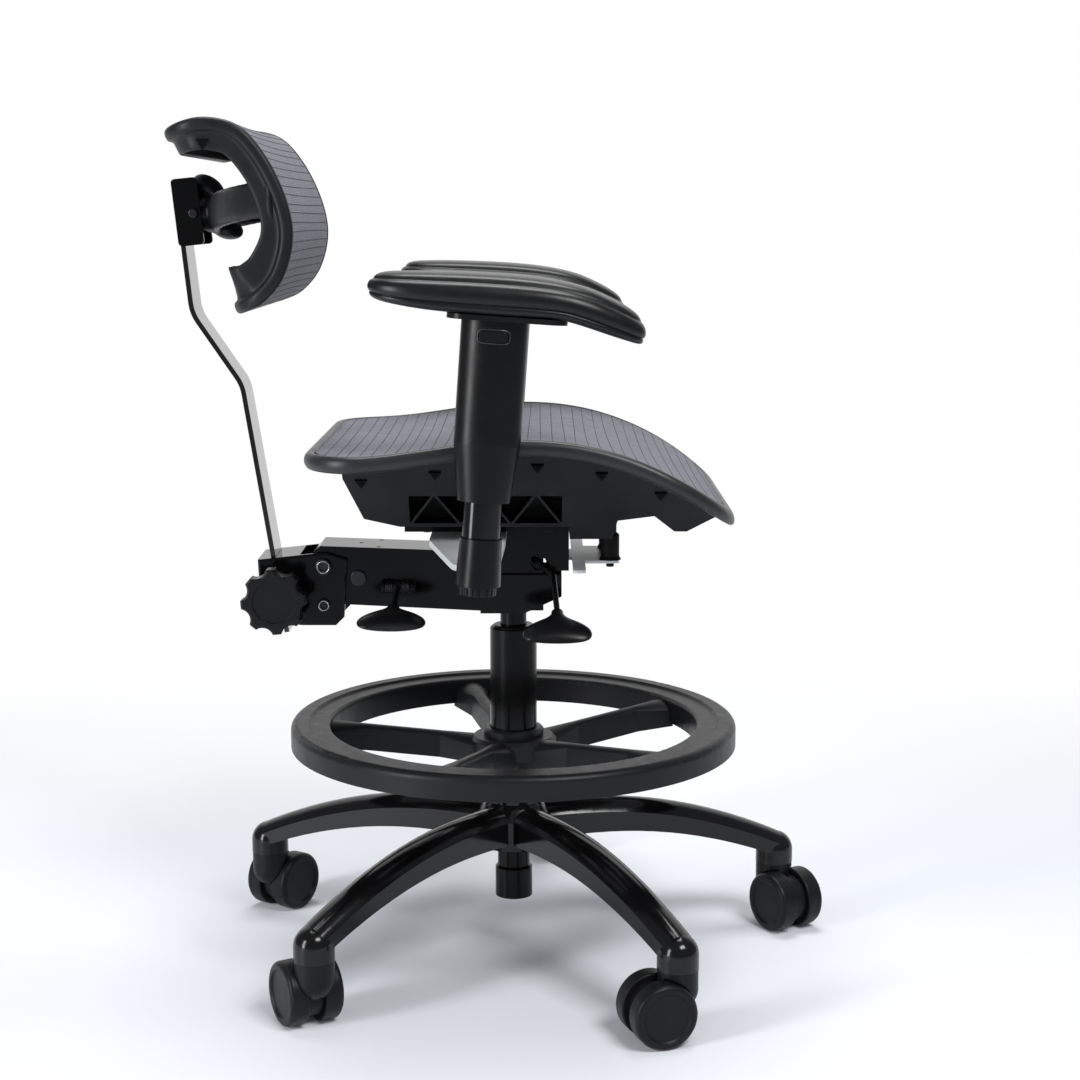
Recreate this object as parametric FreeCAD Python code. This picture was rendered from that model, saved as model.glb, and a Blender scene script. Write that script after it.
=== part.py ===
import FreeCAD, Part
import math
import os

# A studio chair on five casters, with a foot ring, post arms and a mesh seat and back.
# Millimetres, +Z up, +X to the chair's front, +Y to the sitter's left.
# The origin is the floor point under the swivel axis.

Vec = FreeCAD.Vector
ORIGIN = Vec(0, 0, 0)
X_AXIS = Vec(1, 0, 0)
Y_AXIS = Vec(0, 1, 0)
Z_AXIS = Vec(0, 0, 1)

# Clearances between pieces
RUN_GAP = 0.3           # faces that pass each other
PIN_GAP = 0.06          # radial, round pins and stems that turn
GUIDE_GAP = 0.1         # radial, guide bush on the gas spring
BED_GAP = 0.1           # curved faces of one body that lie on each other

# Casters
WHEEL_RADIUS = 32.5
WHEEL_WIDTH = 20.0
WHEEL_SPACING = 36.6    # centre to centre of the two wheels
TREAD_ROUND = 5.0
WHEEL_BACK_ROUND = 2.0
WHEEL_FACE_RADIUS = 23.0
WHEEL_FACE_DEPTH = 1.8
AXLE_RADIUS = 3.5
AXLE_COVER = 3.0        # wheel left outside the blind axle hole
CASTER_TRAIL = 22.0
CASTER_HEIGHT = 71.0    # floor to the underside of a leg end
HOOD_RADIUS = 20.0
HOOD_HEIGHT = 20.0
HOOD_WHEEL_GAP = 1.2
WEB_RADIUS = 26.0
STEM_RADIUS = 5.5
STEM_LENGTH = 20.0
STEM_ROOT = 10.0
CASTER_HEADINGS = (-58.0, 30.0, 57.0, 119.0, 200.0)

# Five-star base
LEG_COUNT = 5
LEG_TURN = 14.4         # azimuth of the first leg
LEG_REACH = 301.5       # swivel axis to caster stem
LEG_RISE = 90.5         # crest of the ridge above the underside of the leg ends
LEG_TIP_RISE = 36.3     # ridge above that underside at the caster stem
LEG_CREST_REACH = 70.0
LEG_ROOT_WIDTH = 46.0
LEG_TIP_WIDTH = 36.0
LEG_ROOT_DEPTH = 38.0
LEG_TIP_DEPTH = 27.0
LEG_CROWN = 12.0
LEG_WALL = 4.5
LEG_STEPS = 5           # lofted spans along a leg
SOCKET_RADIUS = 20.5
SOCKET_PROUD = 0.4      # dome of a leg end above the line of the ridge
LEG_OVERRUN = 6.0       # leg past the caster stem, inside the dome
HUB_RADIUS = 42.0
HUB_COLLAR_WALL = 3.7
HUB_COLLAR_RISE = 14.5  # collar top above the crest of the legs
HUB_DEPTH = 58.0

# Column
TUBE_RADIUS = 25.0
TUBE_WALL = 2.5
TUBE_EDGE = 1.5
NECK_RADIUS = 17.5
NECK_LENGTH = 28.0
SLEEVE_RADIUS = 20.0
SLEEVE_LENGTH = 32.0
TUBE_FLOOR = 8.0
BUSH_LENGTH = 70.0
BUSH_LIP = 2.0
SPRING_RADIUS = 14.0
SPRING_WALL = 2.5
SPRING_SHOWN = 21.0     # gas spring between the tube and the housing
SPRING_LENGTH = 337.0
ROD_SHOWN = 23.2        # rod between its collar and the gas spring
SPRING_END = 12.0
SPRING_SEAT = 60.0      # tapered length in the housing
SPRING_TAPER = 1.0      # radius lost over that length
ROD_RADIUS = 5.0
ROD_COLLAR_RADIUS = 8.0
ROD_COLLAR = 3.0
ROD_TAIL = 2.0
PISTON_HEIGHT = 12.0
PISTON_DEPTH = 104.0    # piston top below the tube top
CLIP_RADIUS = 9.0
CLIP_THICKNESS = 1.6
BEARING_RADIUS = 13.0
WASHER_THICKNESS = 2.0
BALL_RADIUS = 1.75
BALL_COUNT = 10
RELEASE_PIN_RADIUS = 2.5
RELEASE_PIN_LENGTH = 20.5
RELEASE_PIN_SHOWN = 6.5

# Foot ring
FOOT_LIFT = 80.0        # ring top above the base hub
FOOT_RADIUS = 238.0
FOOT_WIDTH = 42.0
FOOT_WALL = 3.5
FOOT_OUTER_DROP = 25.0
FOOT_INNER_DROP = 30.0
FOOT_ROUND = 7.0
FOOT_TREAD = 21.0       # width of the raised outer tread
FOOT_STEP = 2.5         # inner ledge below the tread
FOOT_LEDGE_ROUND = 4.0
FOOT_HUB_RADIUS = 46.0
FOOT_HUB_TOP = 19.0     # below the ring top
FOOT_HUB_HEIGHT = 20.0
FOOT_HUB_EDGE = 4.0
FOOT_COLLAR_RADIUS = 32.0
FOOT_COLLAR_HEIGHT = 9.0
FOOT_COLLAR_EDGE = 2.0
SPOKE_COUNT = 5
SPOKE_TURN = 33.0
SPOKE_WIDTH = 15.0
SPOKE_FLARE = 38.0
SPOKE_FLARE_LENGTH = 40.0
SPOKE_SLOPE = 13.0      # fall of the ridge from ring to hub
SPOKE_DEPTH = 27.0
SPOKE_FOOT = 5.0        # extra width at the lower edge

# Tilt housing
HOUSING_REAR = -34.0
HOUSING_FRONT = 51.0
HOUSING_HALF = 40.0
HOUSING_HEIGHT = 41.0
HOUSING_WALL = 4.0
HOUSING_KEEL = 12.0     # front end of the flat underside
HOUSING_KEEL_RISE = 18.0
SPRING_SOCKET_WALL = 6.0
SPRING_PROUD = 8.0      # end of the gas spring above its socket
EAR_REAR = -29.0
EAR_FRONT = 32.0
EAR_THICKNESS = 4.0
EAR_HEIGHT = 79.0
EAR_HALF = 34.0         # outer faces of the ears
TILT_PIN_X = -14.0
TILT_PIN_HEIGHT = 69.0
TILT_PIN_RADIUS = 5.0
RISER_LENGTH = 10.0
RISER_HALF = 28.0
RISER_HEIGHT = 54.5

# Front plate and bumpers
PLATE_SHEET = 3.0
PLATE_WING_REAR = 62.0
PLATE_WING_FRONT = 75.0
PLATE_WING_HALF = 107.0
TONGUE_FRONT = 111.0
TONGUE_HALF = 48.0
TONGUE_ROUND = 6.0
BUMPER_RADIUS = 9.5
BUMPER_HEIGHT = 28.0
BUMPER_FLARE = 2.0
BUMPER_FLARE_HEIGHT = 4.0
BUMPER_SCREW_RADIUS = 4.0
BUMPER_SCREW_SHOWN = 4.5
PLATE_BOLT_RADIUS = 3.0
PLATE_BOLT_HALF = 16.0
BOLT_HEAD_HEIGHT = 3.5
BOLT_HEAD_RATIO = 1.7   # head radius over shank radius
BOLT_KEY_RATIO = 0.8    # key hole radius over shank radius
BOLT_BITE = 12.0

# Rear arm
REAR_ARM_END = -211.0
REAR_ARM_HALF = 30.0
REAR_ARM_WALL = 3.0
REAR_ARM_FRONT_LOW = 1.0        # heights above the housing underside
REAR_ARM_FRONT_TOP = 64.0
REAR_ARM_REAR_LOW = 9.5
REAR_ARM_REAR_TOP = 70.0
REAR_ARM_TOP_CUT = 9.0
REAR_ARM_HEEL_X = 31.0
REAR_ARM_HEEL_Z = 15.5
CROSS_PIN_X = -162.0
CROSS_PIN_HEIGHT = 36.0
CROSS_PIN_RADIUS = 5.0
CROSS_PIN_HEAD = 8.5
CROSS_PIN_HEAD_HEIGHT = 2.5
ARM_HOLE_RADIUS = 2.5
ARM_HOLE_PLACES = ((-161.0, 0.0), (-141.0, 22.0), (-141.0, -22.0))

# Height lever
LEVER_ROD_RADIUS = 3.0
LEVER_INNER = 1.5
LEVER_PIN_GAP = 0.8
LEVER_BEND = Vec(42.0, -60.0, 44.0)     # height above the housing underside
LEVER_NECK = Vec(46.0, -100.0, 13.0)
LEVER_HOLE_GAP = 0.6
LEVER_WALL_HOLE = 8.0
PADDLE_SECTIONS = (     # way out from the neck, half width, half thickness
    (0.0, 6.0, 5.0),
    (7.0, 7.5, 5.5),
    (14.0, 13.0, 6.5),
    (21.0, 23.0, 7.8),
    (28.0, 31.0, 8.6),
    (36.0, 34.5, 8.6),
    (43.0, 33.5, 7.0),
    (48.0, 29.0, 4.4),
    (50.0, 24.0, 2.4),
)
HEIGHT_PADDLE_SLOPE = 24.0
BACK_PADDLE_SLOPE = 14.0
PADDLE_GRIP = 9.0       # rod length held in a paddle

# Back lever
BACK_LEVER_X = -120.0
BACK_LEVER_HEIGHT = 28.0
BACK_LEVER_STANDOFF = 7.0
BACK_LEVER_BARREL = 5.0
BACK_LEVER_BARREL_LENGTH = 26.0
BACK_LEVER_PIN = 2.5
BACK_LEVER_NECK = Vec(-121.0, -92.0, 17.0)
LUG_THICKNESS = 4.0
LUG_RADIUS = 6.0

# Seat bracket and plate
SEAT_LIFT = 92.0        # seat plate underside above the housing underside
BRACKET_REAR = -30.0
BRACKET_FRONT = 58.5
BRACKET_WEB = 5.0
BRACKET_WALL = 4.0
BRACKET_GAP = 2.0       # between housing ears and bracket walls
BRACKET_DROP = 46.5     # bracket walls below the seat plate
SEAT_PLATE_REAR = -110.0
SEAT_PLATE_FRONT = 56.0
SEAT_PLATE_HALF = 75.0
SEAT_PLATE_DEPTH = 14.5
SEAT_PLATE_SHEET = 3.0
SEAT_SCREW_RADIUS = 3.0
SEAT_SCREW_PLACES = ((-88.0, 52.0), (-88.0, -52.0), (38.0, 52.0), (38.0, -52.0))
SEAT_BOSS_RADIUS = 8.0

# Seat frame and mesh
SEAT_REAR = -203.0
SEAT_FRONT = 222.0
SEAT_HALF = 207.0
SEAT_REAR_ROUND = 60.0
SEAT_FRONT_ROUND = 80.0
SEAT_CROWN_X = 10.0
SEAT_CROWN = 107.5      # crown above the seat plate underside
SEAT_REAR_DROP = 17.0
SEAT_REAR_RUN = 175.0
SEAT_FRONT_DROP = 80.0
SEAT_FRONT_POWER = 2.2
SEAT_STATIONS = 11
RIM_WIDTH = 21.0
RIM_HEIGHT = 16.0
MESH_INSET = 11.0
MESH_THICKNESS = 2.5

# Seat under-frame
TRAY_WALL = 4.0
TRAY_REAR = -163.0
TRAY_FRONT = 203.0
TRAY_LOW_INSET = 79.0   # sides of the under-frame in from the seat's edge
TRAY_TOP_INSET = 14.0
TRAY_SLOPE_RISE = 92.0
TRAY_STEP_X = 58.0      # front box, from here to its front
TRAY_BOX_FRONT = 100.0
TRAY_BOX_FLOOR = 1.0    # above the seat plate underside
WINDOW_REAR = -100.0
WINDOW_FRONT = 50.0
WINDOW_HEIGHT = 30.0
WINDOW_WALL_HALF = 100.0
WINDOW_BAYS = 6
RIB_THICKNESS = 3.0

# Arms
ARM_STANDOFF = 31.0     # post axis out from the seat's edge
ARM_X = -31.0
ARM_FOOT = 34.0         # foot of the post axis below the seat plate underside
ARM_LEAN = 4.0          # degrees, top forward
NUT_RADIUS = 17.8
NUT_HEIGHT = 9.0
NUT_RIBS = 18
NUT_RIB_DEPTH = 1.2
CUP_LOW_RADIUS = 21.6
CUP_TOP_RADIUS = 19.8
CUP_HEIGHT = 45.0
CUP_FLOOR = 6.0
POST_LONG = 18.0        # half widths of the oval post
POST_SHORT = 14.0
POST_TOP = 200.0
SLEEVE_FOOT = 89.0      # along the post axis
SLEEVE_TOP = 258.0
SLEEVE_KNEE = 54.0
SLEEVE_FOOT_LONG = 25.0
SLEEVE_FOOT_SHORT = 18.5
SLEEVE_LONG = 31.5
SLEEVE_SHORT = 21.0
SLEEVE_BORE_TOP = 232.0
BUTTON_HEIGHT = 244.0
BUTTON_LENGTH = 27.0
BUTTON_WIDTH = 10.0
BUTTON_DEPTH = 9.0
BUTTON_PROUD = 1.6
BUTTON_TRAVEL = 3.0
PAD_PIN_RADIUS = 6.0
PAD_PIN_LENGTH = 10.0
PAD_PLATE_REAR = -45.0
PAD_PLATE_FRONT = 67.0
PAD_PLATE_HALF = 25.0
PAD_PLATE_ROUND = 18.0
PAD_PLATE_THICKNESS = 5.0
PAD_SHIFT = 13.0        # pad middle towards the seat from the post
PAD_STATIONS = (        # along the pad, underside and top above the pad plate, half width
    (-119.0, 16.0, 21.5, 20.0),
    (-107.0, 9.5, 28.5, 33.0),
    (-62.0, 0.0, 36.5, 45.0),
    (0.0, -2.0, 38.0, 46.0),
    (40.0, -3.0, 36.5, 46.0),
    (94.0, -9.0, 27.0, 42.5),
    (128.0, -15.0, 8.0, 31.0),
    (140.0, -16.0, -7.5, 18.0),
)
PAD_SIDE_BULGE = 0.2    # side bulge and crown, as shares of the pad's depth there
PAD_CROWN = 0.16

# Arm brackets
ARM_STRIP = 6.0
ARM_STRIP_REAR = -82.0
ARM_STRIP_FRONT = -6.0
ARM_STRIP_INNER = 46.0
ARM_STRIP_SHOULDER = 128.0
ARM_STRIP_KNEE = 168.0
ARM_STRIP_DROP = 17.0
ARM_STRIP_BEND = 16.0
ARM_STRIP_TIP_HALF = 17.0
ARM_BOLT_RADIUS = 3.0
ARM_BOLT_PLACES = ((-64.0, 60.0), (-24.0, 60.0))

# Back clamp
CLAMP_X = -198.0        # hinge bolt
CLAMP_HEIGHT = 49.0     # hinge bolt above the housing underside
CLAMP_HALF = 35.0
CLAMP_OUTLINE = (       # from the hinge bolt
    (21.0, -54.0), (25.0, 8.0), (4.0, 15.0), (-69.0, 7.0), (-66.0, -58.0), (-24.0, -63.0), (12.0, -63.0),
)
CLAMP_BLOCK_FRONT = -25.0
CLAMP_BOLT_RADIUS = 5.0
LOCK_BOLT_RADIUS = 4.0
LOCK_BOLT_DROP = 41.0
CLAMP_EDGE = 2.5
KNOB_DROP = 30.0
KNOB_RADIUS = 34.2
KNOB_VALLEY = 28.8
KNOB_POINTS = 8
KNOB_TURN = 5.0
KNOB_TIP = 7.5          # half angle of a point
KNOB_THICKNESS = 20.0
KNOB_FACE_RADIUS = 22.0
KNOB_FACE_DEPTH = 1.5
KNOB_HUB_RADIUS = 14.0
KNOB_HUB_LENGTH = 24.0
KNOB_SCREW_RADIUS = 4.0
KNOB_EDGE = 2.5

# Back bar
BAR_HALF = 25.0
BAR_THICKNESS = 5.0
BAR_BEND = 42.0
BAR_TOP_ROUND = 14.0
BAR_TOP = (-344.0, 448.0)       # X, and height above the housing underside
BAR_UPPER_BEND = (-330.0, 312.0)
BAR_LOWER_BEND = (-280.0, 238.0)
BAR_FOOT = (-238.8, -23.0)

# Back bracket and yoke
EYE_FORWARD = 15.0      # pivot pin from the bar's middle and top end
EYE_DROP = 36.0
EYE_PIN_RADIUS = 3.0
EYE_PIN_HEAD = 4.8
EYE_PIN_HEAD_HEIGHT = 2.5
BAR_BRACKET_SHEET = 3.0
BAR_BRACKET_HEIGHT = 68.0
BAR_BRACKET_REAR = -4.0
BAR_BRACKET_FRONT = 22.5
BAR_BRACKET_ROUND = 4.0
RIVET_RADIUS = 3.0
RIVET_HEAD = 5.5
RIVET_HEAD_HEIGHT = 2.5
RIVET_PLACES = (8.0, 60.0)
KNUCKLE_RADIUS = 9.0
KNUCKLE_NECK = 14.0
FLANGE_REAR = 9.0       # from the pivot pin
FLANGE_FRONT = 21.0
FLANGE_HALF = 24.0
FLANGE_LOW = -26.0
FLANGE_TOP = 41.0
FLANGE_ROUND = 10.0
BOW_LOW = -18.0
BOW_TOP = 27.0
BOW_THICKNESS = 12.0
BOW_FRONT = 27.5        # front of the bow's middle, from the pivot pin
BOW_ROUND = 3.0
BOW_END_X = 102.0
BOW_END_HALF = 155.0

# Back frame and mesh
BACK_HALF = 166.0
BACK_CURVE = (          # front face in side view, from the pivot pin, top to bottom
    (-9.6, 77.3), (15.4, 86.3), (39.4, 89.3), (69.4, 80.3), (94.9, 49.3),
    (112.4, 9.3), (116.9, -25.7), (106.9, -61.7), (87.4, -84.7), (69.4, -93.7),
    (57.4, -97.4),
)
BACK_SPLIT = -15.0      # height that parts the top corners from the bottom ones
BACK_TOP_END = -13.0
BACK_LOW_END = 51.0
BACK_REACH = 180.0
BACK_ROUND = 38.0
BACK_RIM_WIDTH = 20.0
BACK_RIM_DEPTH = 12.0
BACK_SKIRT_DEPTH = 26.0
BACK_SKIRT_INSET = 5.0
BACK_SKIRT_WALL = 5.0
BACK_MESH_INSET = 9.0

# Heights worked out from the sizes above
LEG_CREST = CASTER_HEIGHT + LEG_RISE
HUB_TOP = LEG_CREST + HUB_COLLAR_RISE
HUB_BOTTOM = HUB_TOP - HUB_DEPTH
TUBE_END = HUB_BOTTOM - NECK_LENGTH - SLEEVE_LENGTH
BEARING_TOP = TUBE_END + TUBE_FLOOR + 2 * WASHER_THICKNESS + 2 * BALL_RADIUS
SPRING_LOW = BEARING_TOP + RUN_GAP + ROD_COLLAR + ROD_SHOWN
SPRING_TOP = SPRING_LOW + SPRING_LENGTH
DECK = SPRING_TOP - SPRING_SEAT         # underside of the tilt housing
TUBE_TOP = DECK - SPRING_SHOWN
SEAT_DECK = DECK + SEAT_LIFT            # underside of the seat plate
TRAY_LOW_HALF = SEAT_HALF - TRAY_LOW_INSET
TRAY_TOP_HALF = SEAT_HALF - TRAY_TOP_INSET
ARM_SPREAD = SEAT_HALF + ARM_STANDOFF
AXLE_Z = WHEEL_RADIUS
WHEEL_INNER = (WHEEL_SPACING - WHEEL_WIDTH) / 2
WHEEL_OUTER = WHEEL_INNER + WHEEL_WIDTH
HOOD_TOP = CASTER_HEIGHT - RUN_GAP
FOOT_TOP = HUB_TOP + FOOT_LIFT
BRACKET_HALF = EAR_HALF + BRACKET_GAP + BRACKET_WALL
CLAMP_PIVOT = Vec(CLAMP_X, 0, DECK + CLAMP_HEIGHT)
PAD_SEAT = SLEEVE_TOP + RUN_GAP + PAD_PLATE_THICKNESS


def line(start, end):
    return Part.LineSegment(start, end).toShape()


def wire(start, *moves):
    """Closed outline; a move is an end point, or the middle and end points of an arc."""
    edges = []
    at = start
    for move in moves + (start,):
        if isinstance(move, tuple):
            edges.append(Part.Arc(at, move[0], move[1]).toShape())
            at = move[1]
        elif move.distanceToPoint(at) > 1e-6:
            edges.append(line(at, move))
            at = move
    return Part.Wire(edges)


def push(outline, travel):
    return Part.Face(outline).extrude(travel)


def push_across(outline, half):
    """Solid from an outline in the XZ plane, reaching half to each side."""
    solid = push(outline, Vec(0, 2 * half, 0))
    solid.translate(Vec(0, -half, 0))
    return solid


def lathe(*corners):
    """Solid turned about Z from corners given as radius and height."""
    outline = wire(*[Vec(radius, 0, height) for radius, height in corners])
    return Part.Face(outline).revolve(ORIGIN, Z_AXIS, 360)


def bar(radius, start, end):
    return Part.makeCylinder(radius, (end - start).Length, start, end - start)


def disc(radius, low, high):
    return bar(radius, Vec(0, 0, low), Vec(0, 0, high))


def across(radius, centre, low, high):
    """Round bar along Y through a centre, between two Y values."""
    return bar(radius, Vec(centre.x, low, centre.z), Vec(centre.x, high, centre.z))


def block(low, high):
    size = high - low
    return Part.makeBox(size.x, size.y, size.z, low)


def moved(shape, travel):
    copy = shape.copy()
    copy.translate(travel)
    return copy


def turned(shape, degrees, axis=Z_AXIS, base=ORIGIN):
    copy = shape.copy()
    copy.rotate(base, axis, degrees)
    return copy


def mirrored(shape):
    return shape.mirror(ORIGIN, Y_AXIS)


def joined(shapes):
    return shapes[0].multiFuse(shapes[1:]).removeSplitter()


def spline(points):
    curve = Part.BSplineCurve()
    curve.interpolate(points)
    return curve


def band(upper, lower, half):
    """Solid between two smooth curves in the XZ plane, reaching half to each side."""
    edges = [
        spline(upper).toShape(),
        line(upper[-1], lower[-1]),
        spline(lower[::-1]).toShape(),
        line(lower[0], upper[0]),
    ]
    return push_across(Part.Wire(edges), half)


def corner_arc(centre, radius, degrees):
    """Middle point of a quarter round, at the given azimuth in the XY plane."""
    angle = math.radians(degrees)
    return centre + Vec(radius * math.cos(angle), radius * math.sin(angle), 0)


def rounded_plan(rear, front, half, rear_round, front_round):
    """Rounded rectangle in the XY plane."""
    back_x = rear + rear_round
    fore_x = front - front_round
    return wire(
        Vec(back_x, -half, 0),
        Vec(fore_x, -half, 0),
        (corner_arc(Vec(fore_x, -half + front_round, 0), front_round, -45), Vec(front, -half + front_round, 0)),
        Vec(front, half - front_round, 0),
        (corner_arc(Vec(fore_x, half - front_round, 0), front_round, 45), Vec(fore_x, half, 0)),
        Vec(back_x, half, 0),
        (corner_arc(Vec(back_x, half - rear_round, 0), rear_round, 135), Vec(rear, half - rear_round, 0)),
        Vec(rear, -half + rear_round, 0),
        (corner_arc(Vec(back_x, -half + rear_round, 0), rear_round, 225), Vec(back_x, -half, 0)),
    )


def plan_prism(outline, low, high):
    return moved(push(outline, Vec(0, 0, high - low)), Vec(0, 0, low))


def strip_outline(points, thickness, bend, normal):
    """Outline of a bent strip whose middle line follows points in the plane with that normal."""
    sides = []
    for shift in (thickness / 2, -thickness / 2):
        moves = []
        for index, point in enumerate(points):
            if index == 0:
                ahead = (points[1] - point).normalize()
                moves.append(point + normal.cross(ahead) * shift)
            elif index == len(points) - 1:
                behind = (point - points[index - 1]).normalize()
                moves.append(point + normal.cross(behind) * shift)
            else:
                moves.extend(strip_corner(points[index - 1:index + 2], shift, bend, normal))
        sides.append(moves)
    left, right = sides
    back = []
    for index in range(len(right) - 1, -1, -1):
        move = right[index]
        if isinstance(move, tuple):
            back.append(move[1])
            back.append((move[0], right[index - 1]))
        elif index + 1 == len(right) or not isinstance(right[index + 1], tuple):
            back.append(move)
    return wire(left[0], *(left[1:] + back))


def strip_corner(points, shift, bend, normal):
    """Start point and arc of one bend of a strip, at a shift from its middle line."""
    before, corner, after = points
    first = (corner - before).normalize()
    second = (after - corner).normalize()
    angle = first.getAngle(second)
    reach = bend * math.tan(angle / 2)
    left = 1 if normal.dot(first.cross(second)) > 0 else -1
    start = corner - first * reach
    end = corner + second * reach
    centre = start + normal.cross(first) * bend * left
    radius = bend - shift * left
    middle = centre + (corner - centre).normalize() * radius
    return [
        start + normal.cross(first) * shift,
        (middle, end + normal.cross(second) * shift),
    ]


def domed(radius, flat, dome):
    """Round bar on the Z axis with one flat end and one half-ball end; dome is the ball's centre height."""
    sign = 1 if dome > flat else -1
    slant = radius * math.sqrt(0.5)
    outline = wire(
        Vec(0, 0, flat),
        Vec(radius, 0, flat),
        Vec(radius, 0, dome),
        (Vec(slant, 0, dome + sign * slant), Vec(0, 0, dome + sign * radius)),
    )
    return Part.Face(outline).revolve(ORIGIN, Z_AXIS, 360)


def ring_edges(shape, axis_height):
    """Edges of a solid that lie wholly in one horizontal plane."""
    return [
        edge for edge in shape.Edges
        if abs(edge.BoundBox.ZMin - axis_height) < 1e-4 and abs(edge.BoundBox.ZMax - axis_height) < 1e-4
    ]


def side_edges(shape, y):
    """Edges of a solid that lie wholly in one plane across Y."""
    return [
        edge for edge in shape.Edges
        if abs(edge.BoundBox.YMin - y) < 1e-4 and abs(edge.BoundBox.YMax - y) < 1e-4
    ]


# Casters, built trailing along +X under a swivel axis at the origin

def axle_end():
    return WHEEL_OUTER - WHEEL_FACE_DEPTH - AXLE_COVER


def caster_wheel():
    """Wheel on the +Y side."""
    bore = AXLE_RADIUS + PIN_GAP
    face = WHEEL_OUTER - WHEEL_FACE_DEPTH
    slack = 1 - math.sqrt(0.5)
    back_mid = Vec(WHEEL_RADIUS - WHEEL_BACK_ROUND * slack, WHEEL_INNER + WHEEL_BACK_ROUND * slack, 0)
    tread_mid = Vec(WHEEL_RADIUS - TREAD_ROUND * slack, WHEEL_OUTER - TREAD_ROUND * slack, 0)
    outline = wire(
        Vec(bore, WHEEL_INNER, 0),
        Vec(WHEEL_RADIUS - WHEEL_BACK_ROUND, WHEEL_INNER, 0),
        (back_mid, Vec(WHEEL_RADIUS, WHEEL_INNER + WHEEL_BACK_ROUND, 0)),
        Vec(WHEEL_RADIUS, WHEEL_OUTER - TREAD_ROUND, 0),
        (tread_mid, Vec(WHEEL_RADIUS - TREAD_ROUND, WHEEL_OUTER, 0)),
        Vec(WHEEL_FACE_RADIUS + WHEEL_FACE_DEPTH, WHEEL_OUTER, 0),
        Vec(WHEEL_FACE_RADIUS, face, 0),
        Vec(0, face, 0),
        Vec(0, axle_end(), 0),
        Vec(bore, axle_end(), 0),
    )
    wheel = Part.Face(outline).revolve(ORIGIN, Y_AXIS, 360)
    return moved(wheel, Vec(CASTER_TRAIL, 0, AXLE_Z))


def caster_fork():
    """Hood with its middle web, swivel stem and axle."""
    skirt = HOOD_TOP - HOOD_HEIGHT
    axle_centre = Vec(CASTER_TRAIL, 0, AXLE_Z)
    web_half = WHEEL_INNER - RUN_GAP
    hood = domed(HOOD_RADIUS, HOOD_TOP, skirt)
    well = across(WHEEL_RADIUS + HOOD_WHEEL_GAP, axle_centre, web_half, web_half + 2 * HOOD_RADIUS)
    hood = hood.cut(well).cut(mirrored(well))
    hood = hood.fuse(across(WEB_RADIUS, axle_centre, -web_half, web_half)).removeSplitter()
    axle_half = axle_end() - RUN_GAP
    axle = across(AXLE_RADIUS, axle_centre, -axle_half, axle_half)
    stem = disc(STEM_RADIUS, HOOD_TOP - STEM_ROOT, CASTER_HEIGHT + STEM_LENGTH)
    return [hood.cut(axle).cut(stem), stem, axle]


def leg_azimuth(index):
    return LEG_TURN + index * 360 / LEG_COUNT


def caster_nodes():
    nodes = {}
    wheel = caster_wheel()
    pieces = {"fork": caster_fork(), "wheel_left": [wheel], "wheel_right": [mirrored(wheel)]}
    for index in range(LEG_COUNT):
        seat = turned(Part.Vertex(LEG_REACH, 0, 0), leg_azimuth(index)).Point
        for name, solids in pieces.items():
            placed = [moved(turned(solid, CASTER_HEADINGS[index]), seat) for solid in solids]
            nodes[f"caster_{index + 1}_{name}"] = placed
    return nodes


# Five-star base

def leg_ridge(reach):
    share = max(reach - LEG_CREST_REACH, 0) / (LEG_REACH - LEG_CREST_REACH)
    return LEG_CREST - (LEG_RISE - LEG_TIP_RISE) * share ** 2


def socket_middle():
    """Height of the dome's middle: the ridge line at the stem runs along the dome."""
    fall = 2 * (LEG_RISE - LEG_TIP_RISE) / (LEG_REACH - LEG_CREST_REACH)
    return leg_ridge(LEG_REACH) + SOCKET_PROUD - SOCKET_RADIUS * math.hypot(1, fall)


def leg_section(reach, inset):
    """Arched section across a leg that runs along +X."""
    share = reach / LEG_REACH
    half = (LEG_ROOT_WIDTH + (LEG_TIP_WIDTH - LEG_ROOT_WIDTH) * share) / 2 - inset
    depth = LEG_ROOT_DEPTH + (LEG_TIP_DEPTH - LEG_ROOT_DEPTH) * share
    top = leg_ridge(reach) - inset
    low = leg_ridge(reach) - depth - inset
    shoulder = top - LEG_CROWN
    return wire(
        Vec(reach, -half, low),
        Vec(reach, -half, shoulder),
        (Vec(reach, 0, top), Vec(reach, half, shoulder)),
        Vec(reach, half, low),
    )


def leg_loft(start, end, inset):
    stations = [start + (end - start) * step / LEG_STEPS for step in range(LEG_STEPS + 1)]
    return Part.makeLoft([leg_section(reach, inset) for reach in stations], True, False)


def five_star_base():
    collar = TUBE_RADIUS + HUB_COLLAR_WALL
    hub = lathe(
        (0, HUB_BOTTOM),
        (HUB_RADIUS, HUB_BOTTOM),
        (HUB_RADIUS, LEG_CREST - LEG_CROWN),
        (collar + HUB_COLLAR_WALL, LEG_CREST),
        (collar, LEG_CREST + HUB_COLLAR_WALL),
        (collar, HUB_TOP),
        (0, HUB_TOP),
    )
    socket = domed(SOCKET_RADIUS, CASTER_HEIGHT, socket_middle())
    socket = moved(socket, Vec(LEG_REACH, 0, 0))
    leg = leg_loft(collar, LEG_REACH + LEG_OVERRUN, 0)
    channel = leg_loft(HUB_RADIUS, LEG_REACH - SOCKET_RADIUS, LEG_WALL)
    stem_hole = disc(STEM_RADIUS + PIN_GAP, CASTER_HEIGHT, CASTER_HEIGHT + STEM_LENGTH + RUN_GAP)
    stem_hole = moved(stem_hole, Vec(LEG_REACH, 0, 0))
    arm = joined([leg.cut(channel), socket]).cut(stem_hole)
    arms = [turned(arm, leg_azimuth(index)) for index in range(LEG_COUNT)]
    base = joined([hub] + arms)
    return [base.cut(disc(TUBE_RADIUS, 0, HUB_TOP))]


# Column and gas spring

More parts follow.
